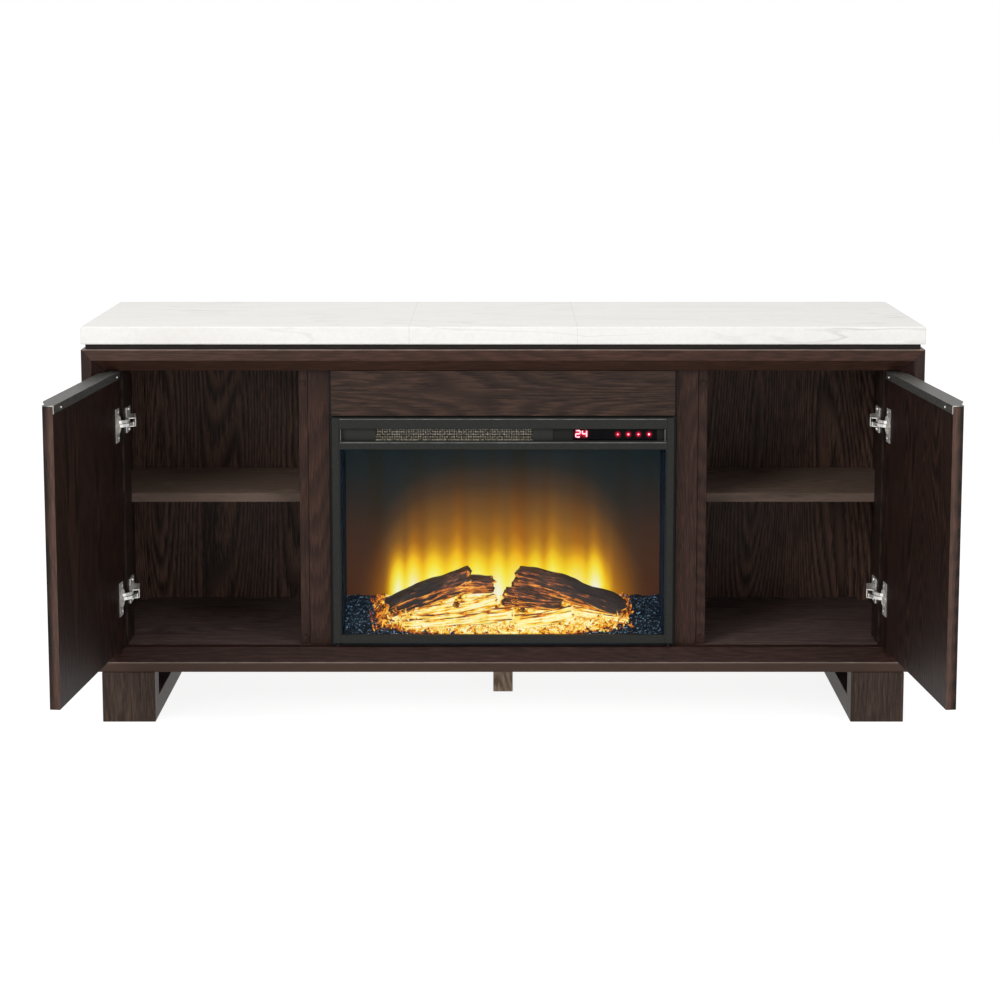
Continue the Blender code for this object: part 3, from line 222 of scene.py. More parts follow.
def oak(
    name, across, colours, figure=(8.0, 0.7), rings=55.0, offset=(0.0, 0.0, 0.0), show=1.0, light_and_lipping_bands=(),
    face=(1.0, 1.0, 1.0), shine=0.16,
):
    """Stained oak. across is 1 on the axes across the grain, and face slows the figure through the veneer.
    Each band along an edge is a painted highlight, painted light or a lipping: (axis, where it starts,
    where it is full, its colour, its share or 0 to follow the pores)."""
    made, tree, shader, place = finish(name)
    wide, long = figure
    flow = tuple((long + (wide - long) * s) * f for s, f in zip(across, face))
    bent = add(tree, "Mapping", {"Vector": place, "Location": offset, "Scale": flow})
    # Growth rings are the contour lines of a slow stretched swell, 6 to 14 mm apart, with cathedral arches
    swell = add(tree, "TexNoise", {
        "Vector": bent, "Scale": 1.0, "Detail": 1.0, "Roughness": 0.3, "Distortion": 0.25,
    })
    # Open pores are 0.3 mm by 10 mm in real oak, and are drawn 3 mm by 38 mm so that they show
    fine = tuple(PORES_ALONG + (PORES_ACROSS - PORES_ALONG) * s for s in across)
    streak = add(tree, "Mapping", {"Vector": place, "Scale": fine})
    pore = add(tree, "TexNoise", {"Vector": streak, "Scale": 1.0, "Detail": 3.0, "Roughness": 0.65})
    # The pores break each ring's line, as they do in ring-porous wood
    rise = add(tree, "Math", {0: swell.outputs["Fac"], 1: rings * 2 * math.pi}, operation="MULTIPLY")
    rise = add(tree, "Math", {0: pore, 1: 5.0, 2: rise}, operation="MULTIPLY_ADD")
    wave = add(tree, "Math", {0: rise}, operation="SINE")
    ring = add(tree, "MapRange", {"Value": wave, "From Min": -1.0, "From Max": 0.6})
    broad = add(tree, "TexNoise", {"Vector": place, "Scale": 3.0, "Detail": 2.0})
    mixed = add(tree, "Math", {0: ring, 1: 0.34 * show}, operation="MULTIPLY")
    mixed = add(tree, "Math", {0: pore, 1: 0.90, 2: mixed}, operation="MULTIPLY_ADD")
    mixed = add(tree, "Math", {0: broad.outputs["Fac"], 1: 0.20, 2: mixed}, operation="MULTIPLY_ADD")
    middle = 0.55 + 0.25 * show
    shades = tuple(zip((middle - 0.27, middle, middle + 0.24), colours))
    shade = add(tree, "ValToRGB", {0: mixed}, stops=shades)
    for axis, band_start, band_full, highlight_or_band, share in light_and_lipping_bands:
        edge = add(tree, "SeparateXYZ", {0: place}).outputs[axis]
        banded = add(tree, "MapRange", {"Value": edge, "From Min": band_start, "From Max": band_full})
        banded = add(tree, "Math", {0: banded, 1: share or pore}, operation="MULTIPLY")
        shade = add(tree, "Mix", {0: banded, 6: shade, 7: srgb(highlight_or_band)}, data_type="RGBA").outputs[2]
    satin = add(tree, "MapRange", {"Value": pore, "To Min": 0.56, "To Max": 0.40})
    dent = add(tree, "Math", {0: ring, 1: 0.25, 2: pore}, operation="MULTIPLY_ADD")
    relief = add(tree, "Bump", {"Height": dent, "Strength": 0.3, "Distance": 0.0006})
    fill(shader, {"Base Color": shade, "Roughness": satin, "Normal": relief, "Specular IOR Level": shine})
    return made


# The grain of upright pieces runs up, and that of level ones along the cabinet
UP = (1.0, 1.0, 0.0)
ALONG = (0.0, 1.0, 1.0)
# The board in the recess under the stone is painted nearly black: painted shade for the shadow under the top.
wear(oak("recess_oak_painted_shade", ALONG, ("0f0b09", "18120f", "261d18"), show=0.3), "sub_top")
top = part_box("frame_top")[1].z
# A pale line along the top rail's upper arris is a painted highlight.
TOP_HIGHLIGHT = (("Z", top - 0.0025, top, "b9a698", 0),)
wear(oak("frame_top_oak", ALONG, ("25160f", "3a251d", "4f342a"), show=0.3, light_and_lipping_bands=TOP_HIGHLIGHT), "frame_top")
# The lower face of the bottom rail is painted lighter for the floor's light, and its arris has a painted
# highlight
front, ARRIS_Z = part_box("frame_bottom")[0].y, 0.1122
BOTTOM_PAINTED_LIGHT = (
    ("Y", front + 0.0012, front, "b7a598", 0),
    ("Z", ARRIS_Z + 0.0009, ARRIS_Z, "4b3930", 0.72),
)
bottom_oak = oak("frame_bottom_oak", ALONG, ("1e110e", "2f1d18", "402b26"), show=0.3, light_and_lipping_bands=BOTTOM_PAINTED_LIGHT)
wear(bottom_oak, "frame_bottom")
wear(oak("frame_side_oak", UP, ("1d110d", "2b1b16", "3c2823"), show=0.3), "frame_left", "frame_right")
stile_oak = oak("stile_oak", UP, ("22140f", "35221b", "4a3027"), offset=(3.1, 0, 0), show=0.5)
wear(stile_oak, "left_stile", "right_stile")
divider_oak = oak(
    "divider_oak", UP, ("20130e", "33211a", "493128"), offset=(5.3, 0, 0), show=0.5, face=(0.1, 1, 1),
)
wear(divider_oak, "left_divider", "right_divider")
wear(oak("fascia_oak", ALONG, ("1f1512", "35261f", "4b372e"), offset=(0, 0, 0.4), show=0.6), "fascia_panel")
# The back panels are painted much lighter than the doors and stiles: painted light for the deep shade at the
# back.
BACK_FIGURE = {"figure": (5.0, 0.5), "rings": 70.0, "offset": (0.7, 0, 0.3), "face": (1, 0.1, 1), "show": 0.8}
back_oak = oak("back_oak", UP, ("2b1f1a", "58433a", "7c5c4d"), **BACK_FIGURE)
wear(back_oak, "left_back_panel", "right_back_panel")
side_oak = oak("side_oak", UP, ("1a120f", "33241e", "4b372e"), face=(0.1, 1, 1), show=0.6)
wear(side_oak, "left_side_panel", "right_side_panel")
post_oak = oak("post_oak", UP, ("120d0b", "241a16", "352721"), face=(0.2, 1, 1))
wear(post_oak, "left_hinge_post", "right_hinge_post")
# The cabinet's floor and top board are painted lighter and greyer than the front oak: painted light and
# sheen.
floor_oak = oak("floor_oak", ALONG, ("382b28", "5d4d49", "796661"), show=0.6, face=(1, 1, 0.1))
wear(floor_oak, "bottom_panel", "top_panel")
# The shelves' front edges have a dark lipping
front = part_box("left_shelf")[0].y
LIPPING = (("Y", front + 0.0009, front + 0.0004, "1c1411", 0),)
# The shelves are painted lighter and greyer still: painted light and sheen for the shade they stand in.
shelf_oak = oak("shelf_oak", ALONG, ("5a483f", "857063", "a08a7c"), show=0.5, face=(1, 1, 0.1), light_and_lipping_bands=LIPPING)
wear(shelf_oak, "left_shelf", "right_shelf")
# The doors stand open, so their width lies along Y here. A pale line at each free end's arris is a painted
# highlight, which starts and is full at these distances from the end.
door_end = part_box("left_door_panel")[0].y
HIGHLIGHT_SPAN = (0.00128, 0.00048)
DOOR_HIGHLIGHT = (("Y", door_end + HIGHLIGHT_SPAN[0], door_end + HIGHLIGHT_SPAN[1], "6a5045", 0),)
door_oak = oak(
    "door_oak", UP, ("120b09", "211511", "35221b"), offset=(0, 1.7, 0), face=(0.1, 1, 1), light_and_lipping_bands=DOOR_HIGHLIGHT,
)
wear(door_oak, "left_door_panel", "right_door_panel")
leg_oak = oak("leg_oak", UP, ("261d19", "3c2f29", "534339"), show=0.3, shine=0.12)
wear(leg_oak, "left_sled_leg", "right_sled_leg")
# The centre foot is painted pale: painted light that makes up for the cabinet's shadow over it.
wear(oak("foot_oak", UP, ("82705f", "ab957f", "c9b29b")), "centre_foot")


# Door pulls: a folded strip of anodised aluminium over each door's top edge, graphite coloured.
# Its cut end has a painted highlight, and two screws hold its flange to the door.
graphite, tree, shader, place = finish("graphite_anodised_aluminium")
# Brushing lines run along the strip, 0.2 mm apart in life and drawn 1.5 mm apart
lines = add(tree, "Mapping", {"Vector": place, "Scale": (700.0, 30.0, 700.0)})
brushed = add(tree, "TexNoise", {"Vector": lines, "Scale": 1.0, "Detail": 2.0})
tone = add(tree, "ValToRGB", {0: brushed.outputs["Fac"]}, stops=((0.3, "444341"), (0.7, "615f5b")))
end = add(tree, "SeparateXYZ", {0: place}).outputs["Y"]
pull_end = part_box("left_door_pull")[0].y
cut = add(
    tree, "MapRange", {"Value": end, "From Min": pull_end + HIGHLIGHT_SPAN[0], "From Max": pull_end + HIGHLIGHT_SPAN[1]},
)
cut = add(tree, "Math", {0: cut, 1: 0.7}, operation="MULTIPLY")
tone = add(tree, "Mix", {0: cut, 6: tone, 7: srgb("c4c2bc")}, data_type="RGBA")
dull = add(tree, "MapRange", {"Value": brushed.outputs["Fac"], "To Min": 0.42, "To Max": 0.56})
fill(shader, {"Base Color": tone.outputs[2], "Metallic": 0.6, "Specular IOR Level": 0.3, "Roughness": dull})
wear(graphite, "left_door_pull", "right_door_pull")


# Cup hinges: pressed and nickel-plated steel, barrel polished.
# The cup, arm and links come from the model; the screws that hold and adjust them are added here.
nickel, tree, shader, place = finish("nickel_plated_steel")
spots = add(tree, "TexNoise", {"Vector": place, "Scale": 220.0, "Detail": 2.0})
tone = add(tree, "ValToRGB", {0: spots.outputs["Fac"]}, stops=((0.3, "dcdad5"), (0.7, "f6f4f0")))
dull = add(tree, "MapRange", {"Value": spots.outputs["Fac"], "To Min": 0.34, "To Max": 0.46})
fill(shader, {"Base Color": tone, "Metallic": 0.7, "Roughness": dull})
for word in ("left", "right"):
    for level in ("lower", "upper"):
        for piece in ("hinge_cup", "hinge_arm", "outer_link", "inner_link"):
            wear(nickel, f"{word}_{level}_{piece}")


def screw_head(shape, centre, outward, radius, height):
    """A low pan head with a pressed recess."""
    start = len(shape.verts)
    turn = Vector((0, 0, 1)).rotation_difference(Vector(outward)).to_matrix().to_4x4()
    put = Matrix.Translation(centre) @ turn
    sides = 16
    made = bmesh.ops.create_cone(
        shape, cap_ends=True, segments=sides, radius1=radius, radius2=radius * 0.78, depth=height,
    )
    faces = {f for v in made["verts"] for f in v.link_faces}
    top = [f for f in faces if len(f.verts) == sides and f.calc_center_median().z > 0]
    for inward, sink in ((radius * 0.30, 0.0), (radius * 0.12, -height * 0.5)):
        bmesh.ops.inset_region(shape, faces=top, thickness=inward, depth=0.0, use_even_offset=True)
        bmesh.ops.translate(shape, verts=list({v for f in top for v in f.verts}), vec=(0, 0, sink))
    shape.verts.ensure_lookup_table()
    bmesh.ops.transform(shape, matrix=put, verts=shape.verts[start:])


def piece_from(name, shape, made, body, smooth=False):
    """Turns a bmesh into a piece that rides on a body."""
    mesh = bpy.data.meshes.new(name)
    shape.to_mesh(mesh)
    shape.free()
    mesh.materials.append(made)
    if smooth:
        mesh.shade_smooth()
        mesh.set_sharp_from_angle(angle=math.radians(35))
    piece = bpy.data.objects.new(name, mesh)
    bpy.context.scene.collection.objects.link(piece)
    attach(piece, body)
    return piece


OPEN_ANGLE = math.radians(95.5)
# Each kind of screw has the radius and height of its head
PULL_SCREW, CUP_SCREW, ARM_SCREW = (0.0019, 0.0012), (0.0036, 0.0014), (0.0034, 0.0014)
PULL_SCREW_DROP, CUP_SCREW_SPREAD, ARM_SCREW_SPREAD = 0.0085, 0.024, 0.0185
ARM_SCREW_INSET, PLATE_THICKNESS = 0.018, 0.0032
for word, side in (("left", -1), ("right", 1)):
    # Along runs from the hinge to the free end of an open door, and facing is the way its inner face looks
    along = Vector((-side * math.cos(OPEN_ANGLE), -math.sin(OPEN_ANGLE), 0.0))
    facing = Vector((-side * math.sin(OPEN_ANGLE), math.cos(OPEN_ANGLE), 0.0))
    flange = [v.co for v in nodes[f"{word}_door_pull"].data.vertices]
    face = max(co.dot(facing) for co in flange)
    ends = [co.dot(along) for co in flange]
    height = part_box(f"{word}_door_pull")[1].z - PULL_SCREW_DROP
    heads = bmesh.new()
    for reach in (min(ends) + 0.026, max(ends) - 0.040):
        spot = along * reach + facing * (face + 0.0006) + Vector((0, 0, height))
        screw_head(heads, spot, facing, *PULL_SCREW)
    piece_from(f"{word}_pull_screws", heads, nickel, f"{word}_door", True)
    heads = bmesh.new()
    for level in ("lower", "upper"):
        cup = [v.co for v in nodes[f"{word}_{level}_hinge_cup"].data.vertices]
        face = max(co.dot(facing) for co in cup)
        reaches = [co.dot(along) for co in cup if co.dot(facing) > face - 0.0005]
        height = sum(corner.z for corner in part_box(f"{word}_{level}_hinge_cup")) / 2
        # The heads lie nearly flush in the flange, so that they clear the post when the door shuts
        flush = along * (min(reaches) + max(reaches)) / 2 + facing * (face - 0.0004)
        for rise in (-CUP_SCREW_SPREAD, CUP_SCREW_SPREAD):
            screw_head(heads, flush + Vector((0, 0, height + rise)), facing, *CUP_SCREW)
    piece_from(f"{word}_door_screws", heads, nickel, f"{word}_door", True)
    heads = bmesh.new()
    for level in ("lower", "upper"):
        low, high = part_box(f"{word}_{level}_hinge_arm")
        middle = (low + high) / 2
        plate = high.x if side > 0 else low.x
        for rise in (-ARM_SCREW_SPREAD, ARM_SCREW_SPREAD):
            spot = (plate - side * PLATE_THICKNESS, high.y - ARM_SCREW_INSET, middle.z + rise)
            screw_head(heads, spot, (-side, 0, 0), *ARM_SCREW)
    piece_from(f"{word}_mounting_screws", heads, nickel, "root", True)


# Insert front: a folded steel surround with a satin black powder coat, slightly warm in the light.
# Its side rails lap over the top and bottom bands, and a foam seal closes the gap to the cabinet.
powder, tree, shader, place = finish("satin_black_powder_coat")
# The coat's orange peel has lumps of about 1 mm, drawn 3 mm wide
peel = add(tree, "TexNoise", {"Vector": place, "Scale": 330.0, "Detail": 2.0})
tone = add(tree, "ValToRGB", {0: peel.outputs["Fac"]}, stops=((0.3, "1b1c1a"), (0.7, "252623")))
RAIL_EDGE_X, LAP_HALF_WIDTH = 0.2995, 0.0008
side = add(tree, "Math", {0: add(tree, "SeparateXYZ", {0: place}).outputs["X"]}, operation="ABSOLUTE")
lap = add(tree, "Math", {0: side, 1: RAIL_EDGE_X, 2: LAP_HALF_WIDTH}, operation="COMPARE")
joined = add(tree, "Mix", {0: lap, 6: tone, 7: srgb("121311")}, data_type="RGBA")
relief = add(tree, "Bump", {"Height": peel.outputs["Fac"], "Strength": 0.2, "Distance": 0.0004})
fill(shader, {"Base Color": joined.outputs[2], "Roughness": 0.5, "Specular IOR Level": 0.2, "Normal": relief})
wear(powder, "trim_frame", "insert_casing")


def mottled(name, scale, shades, looks, detail=2.0):
    """A plain finish in shades that wander over 1 / scale metres. looks sets the shader's other sockets."""
    made, tree, shader, place = finish(name)
    spots = add(tree, "TexNoise", {"Vector": place, "Scale": scale, "Detail": detail})
    tone = add(tree, "ValToRGB", {0: spots.outputs["Fac"]}, stops=shades)
    fill(shader, {"Base Color": tone, **looks})
    return made


# The mould's spark texture leaves a fine matt grain, drawn 2 mm coarse
SPARKED = ((0.3, "0e0e0f"), (0.7, "161617"))
plastic = mottled("moulded_black_abs", 500.0, SPARKED, {"Roughness": 0.6, "Specular IOR Level": 0.2})
wear(plastic, "power_inlet")


def strip_box(shape, low, high):
    """One straight strip between two corners, with its edges eased."""
    low, high = Vector(low), Vector(high)
    put = Matrix.Translation((low + high) / 2) @ Matrix.Diagonal((*(high - low), 1.0))
    made = bmesh.ops.create_cube(shape, size=1.0, matrix=put)
    edges = list({e for v in made["verts"] for e in v.link_edges})
    ease = min(high - low) * 0.2
    bmesh.ops.bevel(shape, geom=edges, offset=ease, segments=1, profile=0.5, affect="EDGES", material=-1)


SEAL_OUTER, SEAL_FRONT, SEAL_BACK = 0.3178, -0.1688, -0.1583
# Inner edge, front, foot and top of the strip beside the insert and of the one beside the fascia
SIDE_SEALS = ((0.3056, SEAL_FRONT, 0.1356, 0.5580), (0.3040, -0.1598, 0.5640, 0.6500))
seal = bmesh.new()
for side in (-1, 1):
    for inner, front, foot, top in SIDE_SEALS:
        ends = sorted((side * inner, side * SEAL_OUTER))
        strip_box(seal, (ends[0], front, foot), (ends[1], SEAL_BACK, top))
strip_box(seal, (-SEAL_OUTER, SEAL_FRONT, 0.5586), (SEAL_OUTER, -0.1606, 0.5674))
piece_from("foam_seal", seal, plastic, "root")

# Rolled beads along the folds of the top band, in grey patches of 25 mm: painted highlights where the folds
# catch light
BEAD_HALF_LENGTH, BEAD_WIDTH, BEAD_RISE = 0.2975, 0.0013, 0.0006
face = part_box("trim_frame")[0].y
beads = bmesh.new()
for foot in (0.5173, 0.5606):
    low = (-BEAD_HALF_LENGTH, face - BEAD_RISE, foot)
    strip_box(beads, low, (BEAD_HALF_LENGTH, face + BEAD_RISE, foot + BEAD_WIDTH))
for end in (-0.2968, 0.2946):
    strip_box(beads, (end, face - BEAD_RISE, 0.5205), (end + 0.0014, face + BEAD_RISE, 0.5428))
BEAD_HIGHLIGHT = ((0.35, "4f514e"), (0.65, "7a7c78"))
bead_highlight_coat = mottled("highlit_black_powder_coat", 40.0, BEAD_HIGHLIGHT, {"Roughness": 0.4}, 3.0)
piece_from("trim_beads", beads, bead_highlight_coat, "root")


# Vent grille: a steel plate pressed into a fine square mesh, painted dark, its bars with painted highlights.
# It drops behind the channel above the window, beside the touch strip.
low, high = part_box("vent_grille")
MESH_LEFT, MESH_RIGHT, MESH_LOW, MESH_TOP = -0.233, 0.055, 0.5225, 0.5415
CELLS_ACROSS, CELLS_UP, BAR_WIDTH, SHEET_THICKNESS = 66, 4, 0.0013, 0.0012
CHANNEL_PAINT = "262724"
grille = bmesh.new()
bmesh.ops.create_grid(grille, x_segments=CELLS_ACROSS, y_segments=CELLS_UP, size=0.5)
wide, tall = MESH_RIGHT - MESH_LEFT, MESH_TOP - MESH_LOW
middle = ((MESH_LEFT + MESH_RIGHT) / 2, low.y, (MESH_LOW + MESH_TOP) / 2)
bmesh.ops.transform(grille, matrix=Matrix.Diagonal((wide, tall, 1.0, 1.0)), verts=grille.verts)
bmesh.ops.rotate(grille, matrix=Matrix.Rotation(math.radians(90), 3, "X"), verts=grille.verts)
bmesh.ops.translate(grille, vec=middle, verts=grille.verts)
cells = grille.faces[:]
bmesh.ops.inset_individual(grille, faces=cells, thickness=BAR_WIDTH / 2, depth=0.0)
bmesh.ops.delete(grille, geom=cells, context="FACES")


def on_rim(co):
    """Whether a point is on the outline of the meshed area."""
    gaps = (co.x - MESH_LEFT, co.x - MESH_RIGHT, co.z - MESH_LOW, co.z - MESH_TOP)
    return min(abs(gap) for gap in gaps) < 1e-5


# The plate's plain border is drawn out from the mesh's outline to the size of the node
rim = [e for e in grille.edges if e.is_boundary and all(on_rim(v.co) for v in e.verts)]
outer = bmesh.ops.extrude_edge_only(grille, edges=rim)
for v in outer["geom"]:
    if isinstance(v, bmesh.types.BMVert):
        v.co.x = {MESH_LEFT: low.x, MESH_RIGHT: high.x}.get(round(v.co.x, 6), v.co.x)
        v.co.z = {MESH_LOW: low.z, MESH_TOP: high.z}.get(round(v.co.z, 6), v.co.z)
bmesh.ops.solidify(grille, geom=grille.faces[:], thickness=-SHEET_THICKNESS)
bmesh.ops.recalc_face_normals(grille, faces=grille.faces[:])
pressed, tree, shader, place = finish("highlit_black_steel_mesh")
# The bars carry painted highlights in beige spots of 4 mm
highlight_or_band = add(tree, "TexNoise", {"Vector": place, "Scale": 260.0, "Detail": 2.0})
tone = add(tree, "ValToRGB", {0: highlight_or_band.outputs["Fac"]}, stops=((0.38, "3a3832"), (0.62, "aaa08a")))
parts = add(tree, "SeparateXYZ", {0: place})
meshed = wide / 2 - 0.0008
centre = add(tree, "Math", {0: parts.outputs["X"], 1: middle[0], 2: meshed}, operation="COMPARE")
plate = add(tree, "Mix", {0: centre, 6: srgb(CHANNEL_PAINT), 7: tone}, data_type="RGBA")
fill(shader, {"Base Color": plate.outputs[2], "Roughness": 0.5, "Specular IOR Level": 0.2})
vent = piece_from("pressed_vent_grille", grille, pressed, "root")
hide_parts("vent_grille")


# Touch strip: black polished glass let into the painted channel, with red light spreading behind it.
# The digits and the four round signs are thin moulded light guides just proud of the face.
strip, tree, shader, place = finish("black_touch_glass")
smear = add(tree, "TexNoise", {"Vector": place, "Scale": 60.0, "Detail": 2.0})
tone = add(tree, "ValToRGB", {0: smear.outputs["Fac"]}, stops=((0.3, "030206"), (0.7, "08070b")))
parts = add(tree, "SeparateXYZ", {0: place})
GLASS_X, GLASS_HALF = 0.2045, 0.0765
inside = add(tree, "Math", {0: parts.outputs["X"], 1: GLASS_X, 2: GLASS_HALF}, operation="COMPARE")
sheet = add(tree, "Mix", {0: inside, 6: srgb(CHANNEL_PAINT), 7: tone}, data_type="RGBA")
gloss = add(tree, "MapRange", {"Value": inside, "To Min": 0.5, "To Max": 0.14})
# Each digit and sign has a round haze of its own, and the brightest one shows
DIGITS_X, SIGNS_X, SIGNS_Z = 0.1427, (0.2097, 0.2290, 0.2474, 0.2667), 0.5320
DIGIT_HAZE, SIGN_HAZE = 0.0125, 0.0092
hazes = [(DIGITS_X + away, 0.5330, DIGIT_HAZE) for away in (-0.005, 0.006)]
hazes += [(x, SIGNS_Z, SIGN_HAZE) for x in SIGNS_X]
glow = None
for x, z, reach in hazes:
    flat = add(tree, "CombineXYZ", {0: parts.outputs["X"], 1: parts.outputs["Z"]})
    far = add(tree, "VectorMath", {0: flat, 1: (x, z, 0.0)}, operation="DISTANCE")
    near = add(tree, "MapRange", {
        "Value": far.outputs["Value"], "From Min": 0.0, "From Max": reach, "To Min": 1.0, "To Max": 0.0,
    }, interpolation_type="SMOOTHSTEP")
    glow = add(tree, "Math", {0: near, 1: glow or 0.0}, operation="MAXIMUM")
red = add(tree, "ValToRGB", {0: glow}, stops=(
    (0.0, "000000"), (0.35, "30020a"), (0.75, "c0102e"), (1.0, "ff2a4c"),
))
fill(shader, {
    "Base Color": sheet.outputs[2], "Roughness": gloss, "Specular IOR Level": 0.05,
    "Emission Color": red, "Emission Strength": 1.0,
})
wear(strip, "control_panel")

lit, tree, shader, place = finish("lit_red_display")
# Light guides glow unevenly, brighter where the lamp sits behind them
spots = add(tree, "TexNoise", {"Vector": place, "Scale": 400.0})
tone = add(tree, "ValToRGB", {0: spots.outputs["Fac"]}, stops=((0.3, "ff7088"), (0.6, "ffc8d2")))
fill(shader, {
    "Emission Color": tone, "Base Color": srgb("ff2b45"), "Emission Strength": 2.0,
    "Roughness": 0.4,
})
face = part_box("control_panel")[0].y
DIGIT_WIDTH, DIGIT_HEIGHT, DIGIT_FOOT = 0.0078, 0.0118, 0.5270
BAR_BREADTH, BAR_DEPTH = 0.0022, 0.0006
# Each bar of a digit has its place across and up, as shares of the digit, and is upright or not
BARS = {
    "a": (0.5, 1.0, False), "g": (0.5, 0.5, False), "d": (0.5, 0.0, False), "f": (0.0, 0.75, True),
    "b": (1.0, 0.75, True), "e": (0.0, 0.25, True), "c": (1.0, 0.25, True),
}
digits = bmesh.new()
for lit_bars, x in (("abged", DIGITS_X - 0.0098), ("fgbc", DIGITS_X + 0.0022)):
    for key in lit_bars:
        across, up, upright = BARS[key]
        long = (DIGIT_HEIGHT / 2 if upright else DIGIT_WIDTH) - BAR_BREADTH * 0.2
        half = Vector((BAR_BREADTH, BAR_DEPTH, long) if upright else (long, BAR_DEPTH, BAR_BREADTH)) / 2
        spot = Vector((x + across * DIGIT_WIDTH, face - 0.0001, DIGIT_FOOT + up * DIGIT_HEIGHT))
        strip_box(digits, spot - half, spot + half)
piece_from("display_digits", digits, lit, "root")

# Each sign is a small filled shape with the given number of sides, in a ring
RING_RADIUS, RING_BREADTH, DOT_RADIUS, SIGN_DEPTH = 0.0043, 0.0024, 0.0017, 0.0004
signs = bmesh.new()
for x, sides in zip(SIGNS_X, (3, 6, 4, 20)):
    turn = Matrix.Translation((x, face - SIGN_DEPTH, SIGNS_Z)) @ Matrix.Rotation(math.radians(90), 4, "X")
    made = bmesh.ops.create_circle(signs, cap_ends=True, segments=20, radius=RING_RADIUS, matrix=turn)
    disc = list({f for v in made["verts"] for f in v.link_faces})
    bmesh.ops.inset_region(signs, faces=disc, thickness=RING_BREADTH, depth=0.0)
    bmesh.ops.delete(signs, geom=disc, context="FACES")
    bmesh.ops.create_circle(signs, cap_ends=True, segments=sides, radius=DOT_RADIUS, matrix=turn)
bmesh.ops.solidify(signs, geom=signs.faces[:], thickness=SIGN_DEPTH)
bmesh.ops.recalc_face_normals(signs, faces=signs.faces[:])
piece_from("touch_signs", signs, lit, "root")


# Window: a pane of toughened glass in front of the fire, coated so that it mirrors nothing of the room.
# The coating is given by an index like that of air, since glass itself would mirror the floor in dots.
# The colour has a hardly visible film in clouds of 170 mm
CLEAR = {"Roughness": 0.0, "IOR": 1.0, "Transmission Weight": 1.0}
wear(mottled("coated_toughened_glass", 6.0, ((0.3, "f1f3f4"), (0.7, "f7f8f8")), CLEAR), "glass_pane")


# Fire screen: a translucent panel at the back of the firebox, lit from behind by the lamps and the rotor.
# The flames are blurred upright tongues about 38 mm apart, yellow at the root and brown at the tips.
screen, tree, shader, place = finish("lit_flame_screen")
parts = add(tree, "SeparateXYZ", {0: place})
across, up = parts.outputs["X"], parts.outputs["Z"]
FLAME_ROOT, FLAME_GAP = 0.210, 0.0378
rise = add(tree, "Math", {0: up, 1: FLAME_ROOT}, operation="SUBTRACT")
side = add(tree, "Math", {0: across}, operation="ABSOLUTE")
# The haze fades from amber at the root to nothing at the top, and toward the sides
haze = add(tree, "Math", {0: rise, 1: -2.45, 2: 0.68}, operation="MULTIPLY_ADD")
away = add(tree, "Math", {0: side, 1: 3.6}, operation="MULTIPLY")
away = add(tree, "Math", {0: away, 1: 3.7}, operation="POWER")
haze = add(tree, "Math", {0: away, 1: -0.50, 2: haze}, operation="MULTIPLY_ADD")
faint = add(tree, "Math", {0: rise, 1: -0.66, 2: 0.185}, operation="MULTIPLY_ADD")
haze = add(tree, "Math", {0: haze, 1: faint, 2: 0.12}, operation="SMOOTH_MAX")
# The tongues wander a little from even spacing, and each has its own height
drift = add(tree, "Mapping", {"Vector": place, "Scale": (17.0, 0.0, 0.9)})
wander = add(tree, "TexNoise", {"Vector": drift, "Scale": 1.0, "Detail": 1.0})
swing = add(tree, "Math", {0: wander.outputs["Fac"], 1: 4.5}, operation="MULTIPLY")
phase = add(tree, "Math", {0: across, 1: 2 * math.pi / FLAME_GAP, 2: swing}, operation="MULTIPLY_ADD")
wave = add(tree, "Math", {0: phase}, operation="COSINE")
tongue = add(tree, "MapRange", {"Value": wave, "From Min": -1.0, "From Max": 1.0})
tongue = add(tree, "Math", {0: tongue, 1: 0.8}, operation="POWER")
step = add(tree, "Mapping", {"Vector": place, "Location": (3.3, 0.0, 0.0), "Scale": (24.0, 0.0, 0.0)})
tall = add(tree, "TexNoise", {"Vector": step, "Scale": 1.0, "Detail": 0.0})
height = add(tree, "MapRange", {
    "Value": tall.outputs["Fac"], "From Min": 0.35, "From Max": 0.65, "To Min": 0.066, "To Max": 0.108,
})
climb = add(tree, "Math", {0: rise, 1: height}, operation="DIVIDE")
climb = add(tree, "Math", {0: climb, 1: 0.0}, operation="MAXIMUM")
climb = add(tree, "Math", {0: climb, 1: 1.7}, operation="POWER")
dying = add(tree, "Math", {0: climb, 1: -1.0}, operation="MULTIPLY")
dying = add(tree, "Math", {0: dying}, operation="EXPONENT")
# The lamps light some 400 mm of the width, 8 mm left of the middle
off = add(tree, "Math", {0: across, 1: 0.008}, operation="ADD")
off = add(tree, "Math", {0: off}, operation="ABSOLUTE")
inside = add(tree, "MapRange", {
    "Value": off, "From Min": 0.186, "From Max": 0.220, "To Min": 1.0, "To Max": 0.0,
}, interpolation_type="SMOOTHSTEP")
# Close to the root the tongues run into one another
blaze = add(tree, "Math", {0: tongue, 1: 0.30}, operation="MULTIPLY")
foot = add(tree, "MapRange", {
    "Value": rise, "From Min": 0.0, "From Max": 0.110, "To Min": 0.40, "To Max": 0.0,
}, interpolation_type="SMOOTHSTEP")
blaze = add(tree, "Math", {0: blaze, 1: dying}, operation="MULTIPLY")
blaze = add(tree, "Math", {0: blaze, 1: foot}, operation="ADD")
blaze = add(tree, "Math", {0: blaze, 1: inside}, operation="MULTIPLY")
